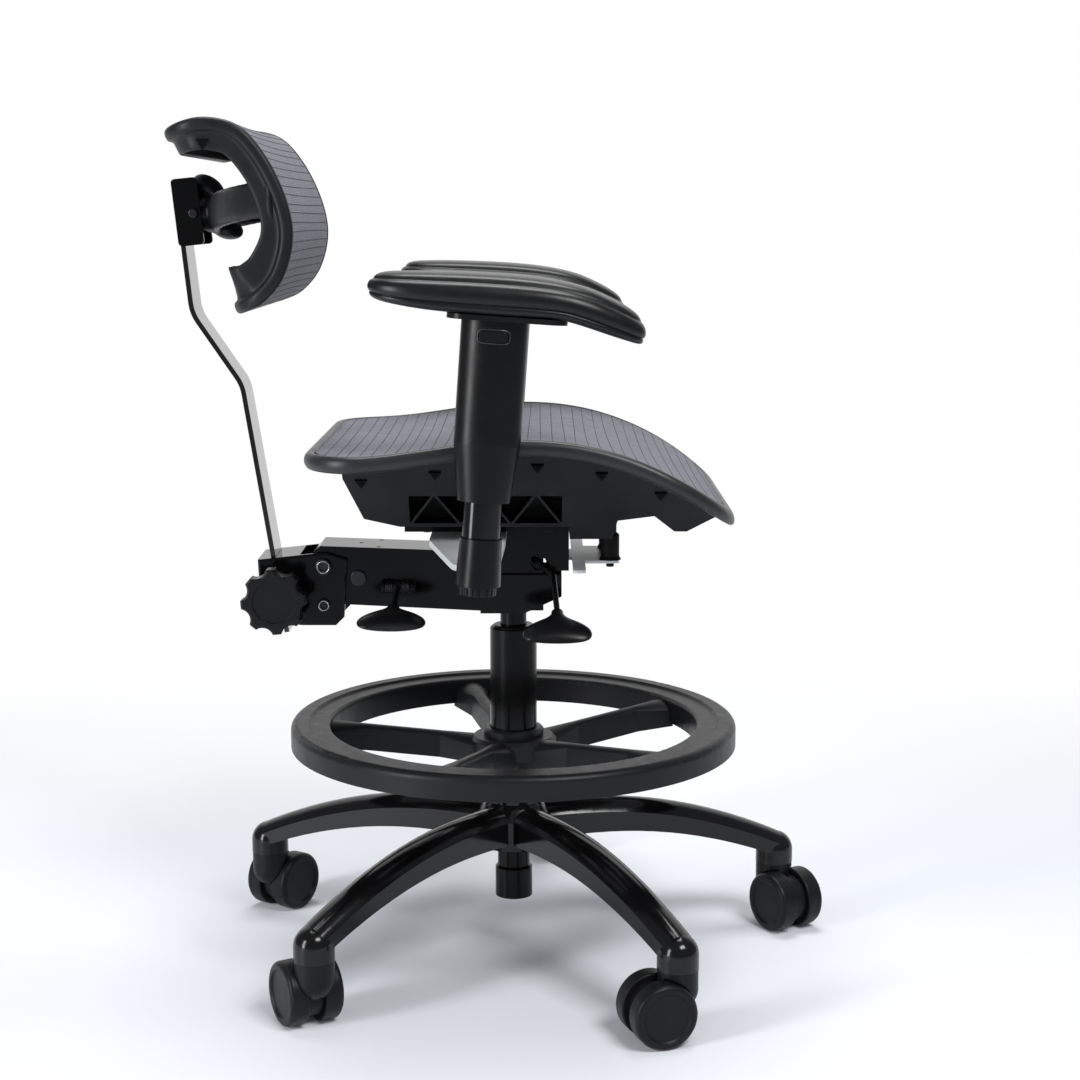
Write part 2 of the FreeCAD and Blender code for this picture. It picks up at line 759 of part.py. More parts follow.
def cylinder_tube():
    bore = TUBE_RADIUS - TUBE_WALL
    neck_bore = SPRING_RADIUS + 2 * RUN_GAP
    floor = TUBE_END + TUBE_FLOOR
    sleeve_top = TUBE_END + SLEEVE_LENGTH
    return [lathe(
        (ROD_RADIUS + 2 * RUN_GAP, TUBE_END),
        (SLEEVE_RADIUS, TUBE_END),
        (SLEEVE_RADIUS, sleeve_top),
        (NECK_RADIUS, sleeve_top + SLEEVE_RADIUS - NECK_RADIUS),
        (NECK_RADIUS, HUB_BOTTOM),
        (TUBE_RADIUS, HUB_BOTTOM),
        (TUBE_RADIUS, TUBE_TOP - TUBE_EDGE),
        (TUBE_RADIUS - TUBE_EDGE, TUBE_TOP),
        (bore, TUBE_TOP),
        (bore, HUB_BOTTOM + TUBE_FLOOR),
        (neck_bore, HUB_BOTTOM + TUBE_FLOOR),
        (neck_bore, floor),
        (ROD_RADIUS + 2 * RUN_GAP, floor),
    )]


def cylinder_bush():
    bore = TUBE_RADIUS - TUBE_WALL
    inner = SPRING_RADIUS + GUIDE_GAP
    return [lathe(
        (inner, TUBE_TOP - BUSH_LENGTH),
        (bore, TUBE_TOP - BUSH_LENGTH),
        (bore, TUBE_TOP),
        (TUBE_RADIUS - TUBE_EDGE, TUBE_TOP),
        (bore - BUSH_LIP, TUBE_TOP + BUSH_LIP),
        (inner, TUBE_TOP + BUSH_LIP),
    )]


def thrust_bearing():
    floor = TUBE_END + TUBE_FLOOR
    inner = ROD_RADIUS + RUN_GAP
    track = (inner + BEARING_RADIUS) / 2
    washer = disc(BEARING_RADIUS, floor, floor + WASHER_THICKNESS)
    washer = washer.cut(disc(inner, floor, floor + WASHER_THICKNESS))
    solids = [washer, moved(washer, Vec(0, 0, WASHER_THICKNESS + 2 * BALL_RADIUS))]
    ball = Part.makeSphere(BALL_RADIUS, Vec(track, 0, floor + WASHER_THICKNESS + BALL_RADIUS))
    solids += [turned(ball, index * 360 / BALL_COUNT) for index in range(BALL_COUNT)]
    return solids


def rod_low():
    return TUBE_END - RUN_GAP - CLIP_THICKNESS - ROD_TAIL


def piston_rod():
    collar = BEARING_TOP + RUN_GAP
    piston = SPRING_RADIUS - SPRING_WALL - RUN_GAP
    top = TUBE_TOP - PISTON_DEPTH
    return [lathe(
        (0, rod_low()),
        (ROD_RADIUS, rod_low()),
        (ROD_RADIUS, collar),
        (ROD_COLLAR_RADIUS, collar),
        (ROD_COLLAR_RADIUS, collar + ROD_COLLAR),
        (ROD_RADIUS, collar + ROD_COLLAR),
        (ROD_RADIUS, top - PISTON_HEIGHT),
        (piston, top - PISTON_HEIGHT),
        (piston, top),
        (0, top),
    )]


def rod_clip():
    low = rod_low() + ROD_TAIL
    return [disc(CLIP_RADIUS, low, low + CLIP_THICKNESS).cut(disc(ROD_RADIUS, low, low + CLIP_THICKNESS))]


def gas_spring_tube():
    bore = SPRING_RADIUS - SPRING_WALL
    low = SPRING_LOW
    pin_bore = RELEASE_PIN_RADIUS + PIN_GAP
    return [lathe(
        (ROD_RADIUS + GUIDE_GAP, low),
        (SPRING_RADIUS, low),
        (SPRING_RADIUS, DECK),
        (SPRING_RADIUS - SPRING_TAPER, SPRING_TOP),
        (pin_bore, SPRING_TOP),
        (pin_bore, SPRING_TOP - SPRING_END),
        (bore - SPRING_TAPER, SPRING_TOP - SPRING_END),
        (bore, DECK),
        (bore, low + SPRING_END),
        (ROD_RADIUS + GUIDE_GAP, low + SPRING_END),
    )]


def release_pin_top():
    return SPRING_TOP + RELEASE_PIN_SHOWN


def release_pin():
    return [disc(RELEASE_PIN_RADIUS, release_pin_top() - RELEASE_PIN_LENGTH, release_pin_top())]


# Foot ring

def foot_rim():
    """Rim with a raised outer tread, a lower inner ledge and a hollow underside."""
    inner = FOOT_RADIUS - FOOT_WIDTH
    ledge = FOOT_TOP - FOOT_STEP
    ceiling = ledge - FOOT_WALL
    slack = FOOT_ROUND * (1 - math.sqrt(0.5))
    ledge_slack = FOOT_LEDGE_ROUND * (1 - math.sqrt(0.5))
    step_end = FOOT_RADIUS - FOOT_TREAD
    outline = wire(
        Vec(FOOT_RADIUS, 0, FOOT_TOP - FOOT_OUTER_DROP),
        Vec(FOOT_RADIUS, 0, FOOT_TOP - FOOT_ROUND),
        (Vec(FOOT_RADIUS - slack, 0, FOOT_TOP - slack), Vec(FOOT_RADIUS - FOOT_ROUND, 0, FOOT_TOP)),
        Vec(step_end + FOOT_STEP, 0, FOOT_TOP),
        Vec(step_end, 0, ledge),
        Vec(inner + FOOT_LEDGE_ROUND, 0, ledge),
        (Vec(inner + ledge_slack, 0, ledge - ledge_slack), Vec(inner, 0, ledge - FOOT_LEDGE_ROUND)),
        Vec(inner, 0, FOOT_TOP - FOOT_INNER_DROP),
        Vec(inner + FOOT_WALL, 0, FOOT_TOP - FOOT_INNER_DROP),
        Vec(inner + FOOT_WALL, 0, ceiling),
        Vec(FOOT_RADIUS - FOOT_WALL, 0, ceiling),
        Vec(FOOT_RADIUS - FOOT_WALL, 0, FOOT_TOP - FOOT_OUTER_DROP),
    )
    return Part.Face(outline).revolve(ORIGIN, Z_AXIS, 360)


def spoke_section(reach, top, width):
    foot = width / 2 + SPOKE_FOOT / 2
    low = top - SPOKE_DEPTH
    crest = width / 4
    return wire(
        Vec(reach, -foot, low),
        Vec(reach, -width / 2, top - crest),
        (Vec(reach, 0, top), Vec(reach, width / 2, top - crest)),
        Vec(reach, foot, low),
    )


def spoke():
    """One spoke along +X: narrow in the middle and flared at both ends."""
    start = FOOT_HUB_RADIUS - 2 * FOOT_WALL
    end = FOOT_RADIUS - FOOT_WIDTH + FOOT_WALL / 2
    outer_top = FOOT_TOP - FOOT_STEP - FOOT_LEDGE_ROUND
    fall = SPOKE_SLOPE / (end - start)
    stations = (
        (start, SPOKE_FLARE), (start + SPOKE_FLARE_LENGTH, SPOKE_WIDTH),
        (end - SPOKE_FLARE_LENGTH, SPOKE_WIDTH), (end, SPOKE_FLARE),
    )
    sections = [spoke_section(reach, outer_top - (end - reach) * fall, width) for reach, width in stations]
    pieces = [Part.makeLoft(sections[index:index + 2], True, True) for index in range(3)]
    return joined(pieces)


def foot_ring():
    low = FOOT_TOP - FOOT_HUB_TOP - FOOT_HUB_HEIGHT
    top = FOOT_TOP - FOOT_HUB_TOP
    bore = TUBE_RADIUS + RUN_GAP
    hub = lathe(
        (bore, low),
        (FOOT_HUB_RADIUS, low),
        (FOOT_HUB_RADIUS, top - FOOT_HUB_EDGE),
        (FOOT_HUB_RADIUS - FOOT_HUB_EDGE, top),
        (bore, top),
    )
    spokes = [turned(spoke(), SPOKE_TURN + index * 360 / SPOKE_COUNT) for index in range(SPOKE_COUNT)]
    return [joined([foot_rim(), hub] + spokes)]


def foot_ring_collar():
    low = FOOT_TOP - FOOT_HUB_TOP
    top = low + FOOT_COLLAR_HEIGHT
    bore = TUBE_RADIUS + RUN_GAP
    return [lathe(
        (bore, low),
        (FOOT_COLLAR_RADIUS, low),
        (FOOT_COLLAR_RADIUS, top - FOOT_COLLAR_EDGE),
        (FOOT_COLLAR_RADIUS - FOOT_COLLAR_EDGE, top),
        (bore, top),
    )]


# Mechanism under the seat

def above_deck(x, height):
    return Vec(x, 0, DECK + height)


def tilt_pin_centre():
    return above_deck(TILT_PIN_X, TILT_PIN_HEIGHT)


def lever_inner():
    """Ball end of the height lever, just over the release pin."""
    return Vec(LEVER_INNER, -LEVER_INNER, release_pin_top() + LEVER_PIN_GAP + LEVER_ROD_RADIUS)


def lever_bend():
    return LEVER_BEND + Vec(0, 0, DECK)


def lever_neck():
    return LEVER_NECK + Vec(0, 0, DECK)


def lever_at(y):
    """Point of the lever's inner run at a Y value."""
    run = lever_bend() - lever_inner()
    return lever_inner() + run * ((y - lever_inner().y) / run.y)


def lever_hole(radius, low, high):
    return bar(radius, lever_at(low), lever_at(high))


def spring_socket():
    outer = SPRING_RADIUS + SPRING_SOCKET_WALL
    return lathe(
        (SPRING_RADIUS, DECK),
        (outer, DECK),
        (outer, SPRING_TOP - SPRING_PROUD),
        (SPRING_RADIUS - SPRING_TAPER * (1 - SPRING_PROUD / SPRING_SEAT), SPRING_TOP - SPRING_PROUD),
    )


def tilt_housing():
    shell = push_across(wire(
        above_deck(HOUSING_REAR, 0),
        above_deck(HOUSING_KEEL, 0),
        above_deck(HOUSING_FRONT, HOUSING_KEEL_RISE),
        above_deck(HOUSING_FRONT, HOUSING_HEIGHT),
        above_deck(HOUSING_REAR, HOUSING_HEIGHT),
    ), HOUSING_HALF)
    wall = HOUSING_WALL
    cavity = push_across(wire(
        above_deck(HOUSING_REAR + wall, wall),
        above_deck(HOUSING_KEEL, wall),
        above_deck(HOUSING_FRONT - wall, HOUSING_KEEL_RISE + wall),
        above_deck(HOUSING_FRONT - wall, 2 * HOUSING_HEIGHT),
        above_deck(HOUSING_REAR + wall, 2 * HOUSING_HEIGHT),
    ), HOUSING_HALF - wall)
    rear_wall = block(
        Vec(HOUSING_REAR, -REAR_ARM_HALF, DECK + wall),
        Vec(HOUSING_REAR + wall, REAR_ARM_HALF, DECK + REAR_ARM_FRONT_TOP),
    )
    ear_side = block(
        Vec(EAR_REAR, -EAR_HALF, DECK + wall / 2),
        Vec(EAR_FRONT, -EAR_HALF + EAR_THICKNESS, DECK + EAR_HEIGHT),
    )
    riser = block(
        Vec(HOUSING_FRONT - RISER_LENGTH, -RISER_HALF, DECK + HOUSING_KEEL_RISE),
        Vec(HOUSING_FRONT, RISER_HALF, DECK + RISER_HEIGHT),
    )
    shell = shell.cut(cavity).cut(disc(SPRING_RADIUS, DECK, DECK + wall))
    housing = joined([shell, spring_socket(), rear_wall, ear_side, mirrored(ear_side), riser])
    pin_hole = across(TILT_PIN_RADIUS + PIN_GAP, tilt_pin_centre(), -EAR_HALF, EAR_HALF)
    rod_hole = lever_hole(LEVER_ROD_RADIUS + LEVER_HOLE_GAP, -EAR_HALF - wall, -EAR_HALF + 2 * wall)
    housing = housing.cut(pin_hole).cut(rod_hole)
    for bolt in plate_bolts():
        housing = housing.cut(bolt)
    return [housing]


def plate_low():
    return DECK + RISER_HEIGHT


def plate_bolt_x():
    return HOUSING_FRONT - RISER_LENGTH / 2


def headed_bolt(radius, seat, bite):
    """Upright bolt: head above the seat height, shank below it."""
    head = disc(radius * BOLT_HEAD_RATIO, seat, seat + BOLT_HEAD_HEIGHT)
    head = head.makeFillet(BOLT_HEAD_HEIGHT / 4, ring_edges(head, seat + BOLT_HEAD_HEIGHT))
    key = disc(radius * BOLT_KEY_RATIO, seat + BOLT_HEAD_HEIGHT / 2, seat + BOLT_HEAD_HEIGHT)
    return joined([head, disc(radius, seat - bite, seat)]).cut(key)


def plate_bolts():
    bolt = headed_bolt(PLATE_BOLT_RADIUS, plate_low() + PLATE_SHEET, PLATE_SHEET + BOLT_BITE)
    return [moved(bolt, Vec(plate_bolt_x(), side * PLATE_BOLT_HALF, 0)) for side in (-1, 1)]


def bumper_x():
    return TONGUE_FRONT - BUMPER_RADIUS


def bumper_places():
    return [Vec(bumper_x(), side * (TONGUE_HALF - BUMPER_RADIUS), 0) for side in (-1, 1)]


def front_plate():
    low = plate_low()
    root = block(
        Vec(HOUSING_FRONT - RISER_LENGTH, -RISER_HALF, low),
        Vec(PLATE_WING_FRONT, RISER_HALF, low + PLATE_SHEET),
    )
    wing = plan_prism(rounded_plan(
        PLATE_WING_REAR, PLATE_WING_FRONT, PLATE_WING_HALF, TONGUE_ROUND / 2, TONGUE_ROUND,
    ), low, low + PLATE_SHEET)
    tongue = plan_prism(rounded_plan(
        PLATE_WING_REAR, TONGUE_FRONT, TONGUE_HALF, TONGUE_ROUND / 2, TONGUE_ROUND,
    ), low, low + PLATE_SHEET)
    plate = joined([root, wing, tongue])
    for bolt in plate_bolts():
        plate = plate.cut(bolt)
    for place in bumper_places():
        plate = plate.cut(moved(disc(BUMPER_SCREW_RADIUS, low, low + PLATE_SHEET), place))
    return [plate]


def front_bumpers():
    seat = plate_low() + PLATE_SHEET
    bumper = lathe(
        (0, plate_low() - BUMPER_SCREW_SHOWN),
        (BUMPER_SCREW_RADIUS, plate_low() - BUMPER_SCREW_SHOWN),
        (BUMPER_SCREW_RADIUS, seat),
        (BUMPER_RADIUS + BUMPER_FLARE, seat),
        (BUMPER_RADIUS, seat + BUMPER_FLARE_HEIGHT),
        (BUMPER_RADIUS, seat + BUMPER_HEIGHT - BUMPER_FLARE),
        (BUMPER_RADIUS - BUMPER_FLARE, seat + BUMPER_HEIGHT),
        (0, seat + BUMPER_HEIGHT),
    )
    return [moved(bumper, place) for place in bumper_places()]


def rear_arm_outline(inset):
    """Side view of the rear arm, or of the hollow inside it."""
    low_slope = (REAR_ARM_REAR_LOW - REAR_ARM_FRONT_LOW) / (HOUSING_REAR - REAR_ARM_END)
    heel_low = REAR_ARM_REAR_LOW - REAR_ARM_HEEL_X * low_slope
    rear = REAR_ARM_END + inset
    return wire(
        above_deck(HOUSING_REAR, REAR_ARM_FRONT_LOW + inset),
        above_deck(HOUSING_REAR, REAR_ARM_FRONT_TOP - inset),
        above_deck(rear + REAR_ARM_TOP_CUT, REAR_ARM_REAR_TOP - inset),
        above_deck(rear, REAR_ARM_REAR_TOP - REAR_ARM_TOP_CUT - inset),
        above_deck(rear, REAR_ARM_REAR_LOW + REAR_ARM_HEEL_Z + inset),
        above_deck(rear + REAR_ARM_HEEL_X, heel_low + inset),
    )


def rear_arm_top(x):
    """Height of the rear arm's top face over the deck."""
    start = REAR_ARM_END + REAR_ARM_TOP_CUT
    share = (x - start) / (HOUSING_REAR - start)
    return REAR_ARM_REAR_TOP + (REAR_ARM_FRONT_TOP - REAR_ARM_REAR_TOP) * share


def back_lever_pivot():
    return Vec(BACK_LEVER_X, -REAR_ARM_HALF - BACK_LEVER_STANDOFF, DECK + BACK_LEVER_HEIGHT)


def back_lever_lug():
    """Lug that carries the back lever's pin, beside its barrel."""
    pivot = back_lever_pivot()
    near = pivot.x + BACK_LEVER_BARREL_LENGTH / 2 + RUN_GAP
    eye = bar(LUG_RADIUS, Vec(near, pivot.y, pivot.z), Vec(near + LUG_THICKNESS, pivot.y, pivot.z))
    root = block(
        Vec(near, pivot.y, pivot.z - LUG_RADIUS),
        Vec(near + LUG_THICKNESS, -REAR_ARM_HALF + REAR_ARM_WALL / 2, pivot.z + LUG_RADIUS),
    )
    return eye.fuse(root).removeSplitter()


def back_lever_pin():
    pivot = back_lever_pivot()
    reach = Vec(BACK_LEVER_BARREL_LENGTH / 2 + RUN_GAP + LUG_THICKNESS, 0, 0)
    return bar(BACK_LEVER_PIN, pivot - reach, pivot + reach)


def rear_arm():
    arm = push_across(rear_arm_outline(0), REAR_ARM_HALF)
    arm = arm.cut(push_across(rear_arm_outline(REAR_ARM_WALL), REAR_ARM_HALF - REAR_ARM_WALL))
    lug = back_lever_lug()
    far_lug = moved(lug, Vec(-BACK_LEVER_BARREL_LENGTH - 2 * RUN_GAP - LUG_THICKNESS, 0, 0))
    arm = joined([arm, lug, far_lug]).cut(back_lever_pin()).cut(cross_pin())
    arm = arm.cut(across(CLAMP_BOLT_RADIUS + PIN_GAP, CLAMP_PIVOT, -REAR_ARM_HALF, REAR_ARM_HALF))
    top_run = HOUSING_REAR - REAR_ARM_END - REAR_ARM_TOP_CUT
    lean = math.degrees(math.atan2(REAR_ARM_REAR_TOP - REAR_ARM_FRONT_TOP, top_run))
    for x, y in ARM_HOLE_PLACES:
        hole = disc(ARM_HOLE_RADIUS, -2 * REAR_ARM_WALL, 2 * REAR_ARM_WALL)
        hole = turned(hole, lean, Y_AXIS)
        arm = arm.cut(moved(hole, Vec(x, y, DECK + rear_arm_top(x))))
    return [arm]


def cross_pin():
    centre = above_deck(CROSS_PIN_X, CROSS_PIN_HEIGHT)
    shank = across(CROSS_PIN_RADIUS, centre, -REAR_ARM_HALF, REAR_ARM_HALF)
    head_end = REAR_ARM_HALF + CROSS_PIN_HEAD_HEIGHT
    head = across(CROSS_PIN_HEAD, centre, REAR_ARM_HALF, head_end)
    head = head.makeFillet(CROSS_PIN_HEAD_HEIGHT / 2, side_edges(head, head_end))
    return joined([shank, head, mirrored(head)])


def mechanism_bolts():
    return plate_bolts() + [cross_pin(), back_lever_pin()]


def paddle(neck, slope):
    """Flared lever paddle of oval sections that slopes down and outwards from its neck."""
    sections = [oval(half_width, half_depth, way) for way, half_width, half_depth in PADDLE_SECTIONS]
    blade = turned(Part.makeLoft(sections, True, False), 90 + slope, X_AXIS)
    return moved(blade, neck)


def lever_grip_end(neck, slope):
    """End of a lever rod inside its paddle."""
    lean = math.radians(slope)
    return neck + Vec(0, -math.cos(lean), -math.sin(lean)) * PADDLE_GRIP


def rod_through(points, radius):
    """Round rod along straight runs, with ball corners."""
    pieces = [bar(radius, start, end) for start, end in zip(points, points[1:])]
    pieces += [Part.makeSphere(radius, point) for point in points[:-1]]
    return joined(pieces)


def height_lever():
    neck = lever_neck()
    grip = lever_grip_end(neck, HEIGHT_PADDLE_SLOPE)
    lever_rod = rod_through([lever_inner(), lever_bend(), neck, grip], LEVER_ROD_RADIUS)
    return [lever_rod, paddle(neck, HEIGHT_PADDLE_SLOPE).cut(lever_rod)]


def back_lever():
    pivot = back_lever_pivot()
    neck = BACK_LEVER_NECK + Vec(0, 0, DECK)
    reach = Vec(BACK_LEVER_BARREL_LENGTH / 2, 0, 0)
    barrel = bar(BACK_LEVER_BARREL, pivot - reach, pivot + reach)
    grip = lever_grip_end(neck, BACK_PADDLE_SLOPE)
    lever_rod = rod_through([pivot, neck, grip], LEVER_ROD_RADIUS)
    bore = bar(BACK_LEVER_PIN + PIN_GAP, pivot - reach, pivot + reach)
    lever_rod = joined([barrel, lever_rod]).cut(bore)
    return [lever_rod, paddle(neck, BACK_PADDLE_SLOPE).cut(lever_rod)]


# Seat

def seat_bracket():
    top = SEAT_DECK
    low = SEAT_DECK - BRACKET_DROP
    inner = BRACKET_HALF - BRACKET_WALL
    shell = block(Vec(BRACKET_REAR, -BRACKET_HALF, low), Vec(BRACKET_FRONT, BRACKET_HALF, top))
    shell = shell.cut(block(Vec(BRACKET_REAR, -inner, low), Vec(BRACKET_FRONT, inner, top - BRACKET_WEB)))
    shell = shell.cut(tilt_pin_solid())
    return [shell.cut(lever_hole(LEVER_WALL_HOLE, -BRACKET_HALF - BRACKET_WALL, -inner + BRACKET_WALL))]


def tilt_pin_solid():
    return across(TILT_PIN_RADIUS, tilt_pin_centre(), -BRACKET_HALF, BRACKET_HALF)


def seat_screw(place):
    screw = headed_bolt(SEAT_SCREW_RADIUS, 0, SEAT_PLATE_DEPTH + TRAY_WALL)
    return moved(turned(screw, 180, X_AXIS), Vec(place[0], place[1], SEAT_DECK))


def arm_bolt(x, y):
    bolt = headed_bolt(ARM_BOLT_RADIUS, SEAT_DECK + SEAT_PLATE_SHEET, SEAT_PLATE_SHEET + ARM_STRIP)
    return moved(bolt, Vec(x, y, 0))


def seat_screws():
    screws = [seat_screw(place) for place in SEAT_SCREW_PLACES]
    for x, y in ARM_BOLT_PLACES:
        screws += [arm_bolt(x, y), arm_bolt(x, -y)]
    return screws


def seat_plate():
    low = SEAT_DECK
    sheet = SEAT_PLATE_SHEET
    tray = block(
        Vec(SEAT_PLATE_REAR, -SEAT_PLATE_HALF, low),
        Vec(SEAT_PLATE_FRONT, SEAT_PLATE_HALF, low + SEAT_PLATE_DEPTH),
    )
    hollow = block(
        Vec(SEAT_PLATE_REAR + sheet, -SEAT_PLATE_HALF + sheet, low + sheet),
        Vec(SEAT_PLATE_FRONT - sheet, SEAT_PLATE_HALF - sheet, low + SEAT_PLATE_DEPTH),
    )
    plate = tray.cut(hollow)
    for screw in seat_screws():
        plate = plate.cut(screw)
    return [plate]


def crest(x):
    """Top line of the seat in side view."""
    top = SEAT_DECK + SEAT_CROWN
    if x < SEAT_CROWN_X:
        share = min((SEAT_CROWN_X - x) / SEAT_REAR_RUN, 1)
        return top - SEAT_REAR_DROP * (1 - math.cos(math.pi * share)) / 2
    share = (x - SEAT_CROWN_X) / (SEAT_FRONT - SEAT_CROWN_X)
    return top - SEAT_FRONT_DROP * share ** SEAT_FRONT_POWER


def crest_line(lowered):
    step = (SEAT_FRONT - SEAT_REAR) / (SEAT_STATIONS - 1)
    stations = [SEAT_REAR + step * index for index in range(SEAT_STATIONS)]
    return [Vec(x, 0, crest(x) - lowered) for x in stations]


def seat_prism(inset):
    """Upright prism over the seat's plan, drawn in by an inset."""
    outline = rounded_plan(
        SEAT_REAR + inset, SEAT_FRONT - inset, SEAT_HALF - inset,
        SEAT_REAR_ROUND - inset, SEAT_FRONT_ROUND - inset,
    )
    return plan_prism(outline, SEAT_DECK - SEAT_CROWN, SEAT_DECK + 2 * SEAT_CROWN)


def seat_frame():
    rim = band(crest_line(0), crest_line(RIM_HEIGHT), SEAT_HALF)
    rim = rim.common(seat_prism(0)).cut(seat_prism(RIM_WIDTH))
    ledge = band(crest_line(-RIM_HEIGHT), crest_line(MESH_THICKNESS + BED_GAP), SEAT_HALF)
    return [rim.cut(ledge.common(seat_prism(MESH_INSET - BED_GAP)))]


def seat_mesh():
    sheet = band(crest_line(0), crest_line(MESH_THICKNESS), SEAT_HALF)
    return [sheet.common(seat_prism(MESH_INSET))]


def tray_outline():
    floor = SEAT_DECK + SEAT_PLATE_DEPTH + RUN_GAP
    box_floor = SEAT_DECK + TRAY_BOX_FLOOR
    rear_run = SEAT_PLATE_REAR - TRAY_REAR
    nose_run = TRAY_FRONT - TRAY_BOX_FRONT
    return wire(
        Vec(TRAY_REAR, 0, SEAT_DECK + SEAT_CROWN),
        Vec(TRAY_REAR, 0, floor + rear_run),
        Vec(TRAY_REAR + rear_run / 3, 0, floor + rear_run / 6),
        Vec(SEAT_PLATE_REAR, 0, floor),
        Vec(TRAY_STEP_X, 0, floor),
        Vec(TRAY_STEP_X, 0, box_floor),
        Vec(TRAY_BOX_FRONT, 0, box_floor),
        Vec(TRAY_BOX_FRONT + nose_run / 20, 0, box_floor + nose_run / 5),
        Vec(TRAY_BOX_FRONT + nose_run * 0.4, 0, box_floor + nose_run / 4),
        Vec(TRAY_BOX_FRONT + nose_run * 0.6, 0, box_floor + nose_run / 12),
        Vec(TRAY_BOX_FRONT + nose_run * 0.72, 0, box_floor + nose_run / 12),
        Vec(TRAY_FRONT, 0, box_floor + nose_run / 4),
        Vec(TRAY_FRONT, 0, SEAT_DECK + SEAT_CROWN),
    )


def tray_wedge(inset):
    """Prism along X with sides that lean out from the low half width to the top one."""
    low = SEAT_DECK + TRAY_BOX_FLOOR
    top = low + TRAY_SLOPE_RISE
    reach = TRAY_FRONT - TRAY_REAR
    outline = wire(
        Vec(TRAY_REAR, -TRAY_LOW_HALF + inset, low),
        Vec(TRAY_REAR, -TRAY_TOP_HALF + inset, top),
        Vec(TRAY_REAR, -TRAY_TOP_HALF + inset, top + SEAT_CROWN),
        Vec(TRAY_REAR, TRAY_TOP_HALF - inset, top + SEAT_CROWN),
        Vec(TRAY_REAR, TRAY_TOP_HALF - inset, top),
        Vec(TRAY_REAR, TRAY_LOW_HALF - inset, low),
    )
    return push(outline, Vec(reach, 0, 0))


def seat_underframe():
    outline = tray_outline()
    below_rim = band(crest_line(RIM_HEIGHT + BED_GAP), crest_line(2 * SEAT_CROWN), SEAT_HALF)
    solid = push_across(outline, SEAT_HALF).common(tray_wedge(0)).common(below_rim)
    solid = solid.common(seat_prism(MESH_INSET))
    hollow_outline = outline.makeOffset2D(-TRAY_WALL, 2)
    hollow = push_across(hollow_outline, SEAT_HALF).common(tray_wedge(TRAY_WALL))
    hollow = hollow.fuse(moved(hollow, Vec(0, 0, TRAY_WALL)))
    shell = solid.cut(hollow.common(seat_prism(MESH_INSET + TRAY_WALL)))
    floor = SEAT_DECK + SEAT_PLATE_DEPTH + RUN_GAP + TRAY_WALL
    window = block(
        Vec(WINDOW_REAR, WINDOW_WALL_HALF, floor),
        Vec(WINDOW_FRONT, SEAT_HALF, floor + WINDOW_HEIGHT),
    )
    inner_wall = block(
        Vec(WINDOW_REAR - TRAY_WALL, WINDOW_WALL_HALF - TRAY_WALL, floor - TRAY_WALL / 2),
        Vec(WINDOW_FRONT + TRAY_WALL, WINDOW_WALL_HALF, floor + WINDOW_HEIGHT + TRAY_WALL),
    )
    roof = block(
        Vec(WINDOW_REAR - TRAY_WALL, WINDOW_WALL_HALF - TRAY_WALL, floor + WINDOW_HEIGHT),
        Vec(WINDOW_FRONT + TRAY_WALL, SEAT_HALF, floor + WINDOW_HEIGHT + TRAY_WALL),
    )
    fills = [inner_wall, roof]
    pitch = (WINDOW_FRONT - WINDOW_REAR) / WINDOW_BAYS
    inner = WINDOW_WALL_HALF - TRAY_WALL / 2
    for index in range(WINDOW_BAYS):
        ends = [WINDOW_REAR + pitch * index, WINDOW_REAR + pitch * (index + 1)]
        foot, head = ends if index % 2 == 0 else reversed(ends)
        strut = wire(
            Vec(foot - RIB_THICKNESS / 2, inner, floor - TRAY_WALL / 2),
            Vec(foot + RIB_THICKNESS / 2, inner, floor - TRAY_WALL / 2),
            Vec(head + RIB_THICKNESS / 2, inner, floor + WINDOW_HEIGHT + TRAY_WALL / 2),
            Vec(head - RIB_THICKNESS / 2, inner, floor + WINDOW_HEIGHT + TRAY_WALL / 2),
        )
        fills.append(push(strut, Vec(0, SEAT_HALF - inner, 0)))
    truss = joined(fills).common(solid)
    shell = shell.cut(window).cut(mirrored(window))
    bosses = []
    for x, y in SEAT_SCREW_PLACES:
        boss = disc(SEAT_BOSS_RADIUS, SEAT_DECK + SEAT_PLATE_SHEET, floor)
        bosses.append(moved(boss, Vec(x, y, 0)))
    frame = joined([shell, truss, mirrored(truss)] + bosses)
    for screw in seat_screws():
        frame = frame.cut(screw)
    return [frame]


# Arms, built upright on the post axis and then leaned and set on the right side

def on_arm(shape):
    leaned = turned(shape, ARM_LEAN, Y_AXIS)
    return moved(leaned, Vec(ARM_X, -ARM_SPREAD, SEAT_DECK - ARM_FOOT))


def pair(shape):
    """The same piece on the right and the left arm."""
    right = on_arm(shape)
    return [right, mirrored(right)]


def oval(long_half, short_half, height):
    ellipse = Part.Ellipse(Vec(long_half, 0, height), Vec(0, short_half, height), Vec(0, 0, height))
    return Part.Wire([ellipse.toShape()])


def oval_bar(long_half, short_half, low, high):
    return push(oval(long_half, short_half, low), Vec(0, 0, high - low))


def arm_nut():
    nut = disc(NUT_RADIUS, 0, NUT_HEIGHT)
    for index in range(NUT_RIBS):
        groove = bar(NUT_RIB_DEPTH, Vec(NUT_RADIUS, 0, 0), Vec(NUT_RADIUS, 0, NUT_HEIGHT - NUT_RIB_DEPTH))
        nut = nut.cut(turned(groove, index * 360 / NUT_RIBS))
    return nut


def cup_outer():
    return Part.makeCone(CUP_LOW_RADIUS, CUP_TOP_RADIUS, CUP_HEIGHT, Vec(0, 0, NUT_HEIGHT))


def post_foot():
    return NUT_HEIGHT + CUP_FLOOR


def arm_cup():
    return cup_outer().cut(oval_bar(POST_LONG, POST_SHORT, post_foot(), NUT_HEIGHT + CUP_HEIGHT))


def arm_post():
    return oval_bar(POST_LONG, POST_SHORT, post_foot(), POST_TOP)


